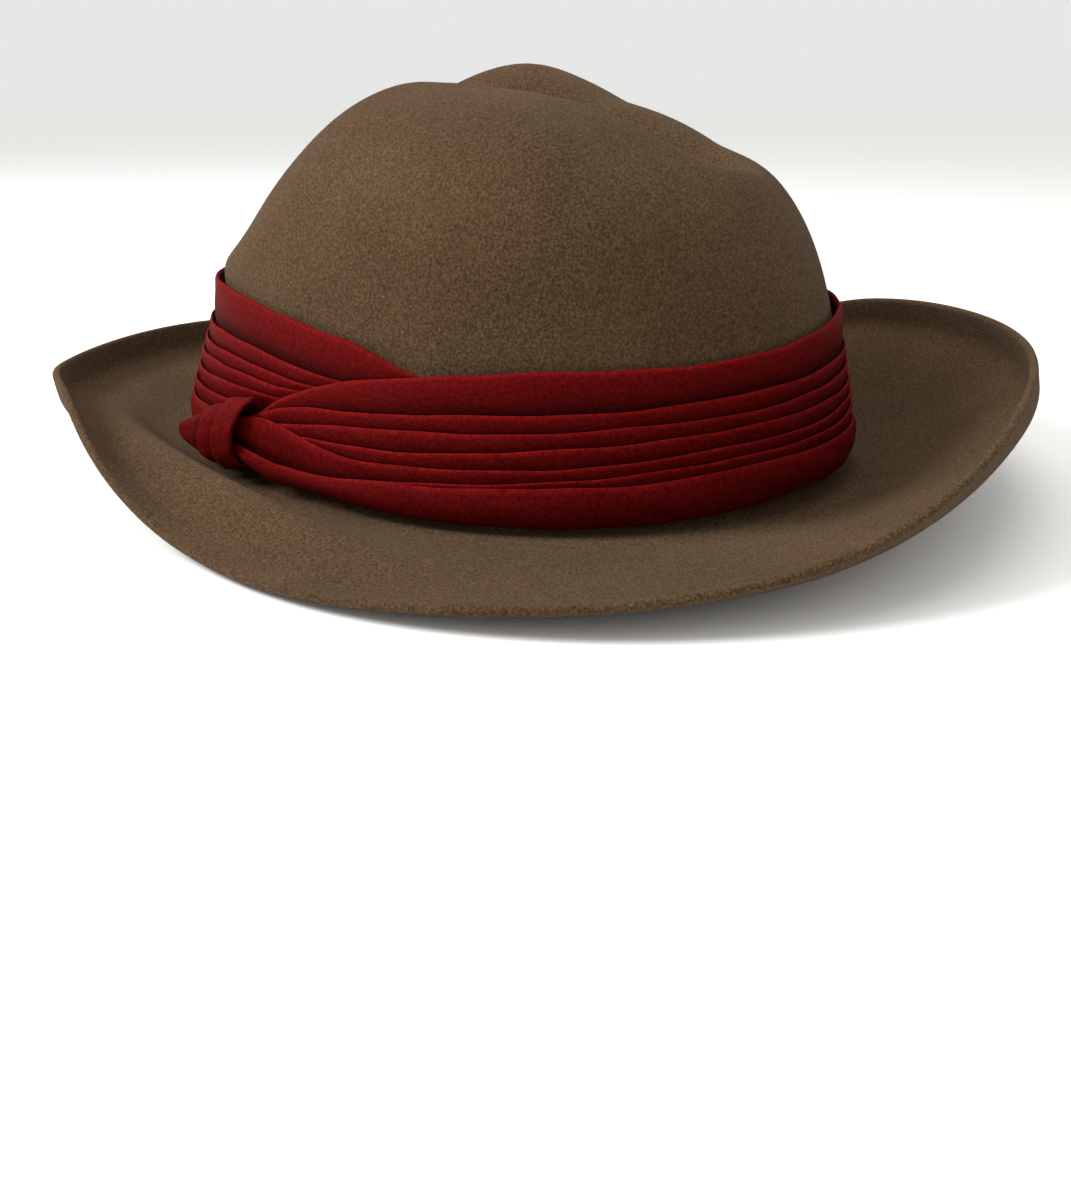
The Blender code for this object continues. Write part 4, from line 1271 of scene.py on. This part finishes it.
TIP_HEIGHTS = (LINING_SEAM + 0.0004, 0.0765, 0.0780, 0.0795, 0.0805, 0.0812)
tip_rows = []
for turn in turns:
    rings = [dome(np.array([turn]), z, LINING / 2)[0] for z in TIP_HEIGHTS]
    edge, inward = rings[-1], np.linspace(0.12, 1.0, 9)
    top_points = [edge * (1 - part) + np.array([0, 0, LINING_HEIGHT]) * part for part in inward]
    for point, part in zip(top_points, inward):
        point[2] += 0.00035 * math.sin(5 * turn) * math.sin(part * math.pi)
    tip_rows.append(np.array(rings + top_points))
tip = cloth_grid("lining_crown_tip", np.array(tip_rows), satin, SATIN)[0]
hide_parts("lining_tip")
# The lengths of the oval's middle lines, over its top from edge to edge: front, left, back and right.
front, left, back, right = np.linalg.norm(np.diff(tip_rows, axis=1), axis=2).sum(1)[[0, 90, 180, 270]]
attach(tip, "root")

# --- studio ---------------------------------------------------------------------------------------
# A pale floor, soft light from the upper left and a camera at the hat's height, looking down.
bpy.context.scene.view_settings.view_transform = "Standard"


def floor_finish():
    """Matt off-white floor."""
    material = bpy.data.materials.new("pale floor")
    material.use_nodes = True
    nodes, links = material.node_tree.nodes, material.node_tree.links
    nodes.clear()
    output = nodes.new("ShaderNodeOutputMaterial")
    output.label = "floor"
    output.location = (300, 0)
    shader = nodes.new("ShaderNodeBsdfPrincipled")
    shader.label = "matt paint"
    shader.location = (0, 0)
    shader.inputs["Base Color"].default_value = (0.985, 0.985, 0.975, 1)
    shader.inputs["Roughness"].default_value = 0.9
    links.new(shader.outputs["BSDF"], output.inputs["Surface"])
    return material


FLOOR = 20                   # half the floor's side
corners = [(-FLOOR, -FLOOR, 0), (FLOOR, -FLOOR, 0), (FLOOR, FLOOR, 0), (-FLOOR, FLOOR, 0)]
floor = new_mesh("floor", corners, [(0, 1, 2, 3)], floor_finish())
floor.data.transform(Matrix.Translation((0, 0, -0.0002)))
world = bpy.data.worlds.new("studio") if bpy.context.scene.world is None else bpy.context.scene.world
bpy.context.scene.world = world
world.use_nodes = True
sky = world.node_tree.nodes["Background"]
sky.inputs["Color"].default_value = (1.0, 1.0, 0.985, 1)
sky.inputs["Strength"].default_value = 0.80


def area_light(name, place, aim, size, power):
    """A soft round lamp, turned to its aim."""
    data = bpy.data.lights.new(name, "AREA")
    data.shape, data.size, data.energy = "DISK", size, power
    lamp = bpy.data.objects.new(name, data)
    lamp.location = place
    lamp.rotation_euler = (Vector(aim) - Vector(place)).to_track_quat("-Z", "Y").to_euler()
    bpy.context.scene.collection.objects.link(lamp)


area_light("key", (0.80, -0.75, 0.85), (0, 0, 0.05), 0.6, 20)
area_light("overhead", (0.1, -0.1, 1.3), (0, 0, 0.05), 1.0, 5)

camera_data = bpy.data.cameras.new("camera")
camera_data.lens, camera_data.sensor_width = 34.3, 36.0
camera = bpy.data.objects.new("camera", camera_data)
back, right = Vector((0.7418, 0.5389, 0.3992)), Vector((-0.589, 0.808, 0.004))
up = back.cross(right).normalized()
right = up.cross(back).normalized()
turned = Matrix((right, up, back.normalized())).transposed().to_4x4()
turned.translation = Vector((0.3033, 0.2276, 0.1058)) + Vector(MIDDLE)
camera.matrix_world = turned
bpy.context.scene.collection.objects.link(camera)
bpy.context.scene.camera = camera
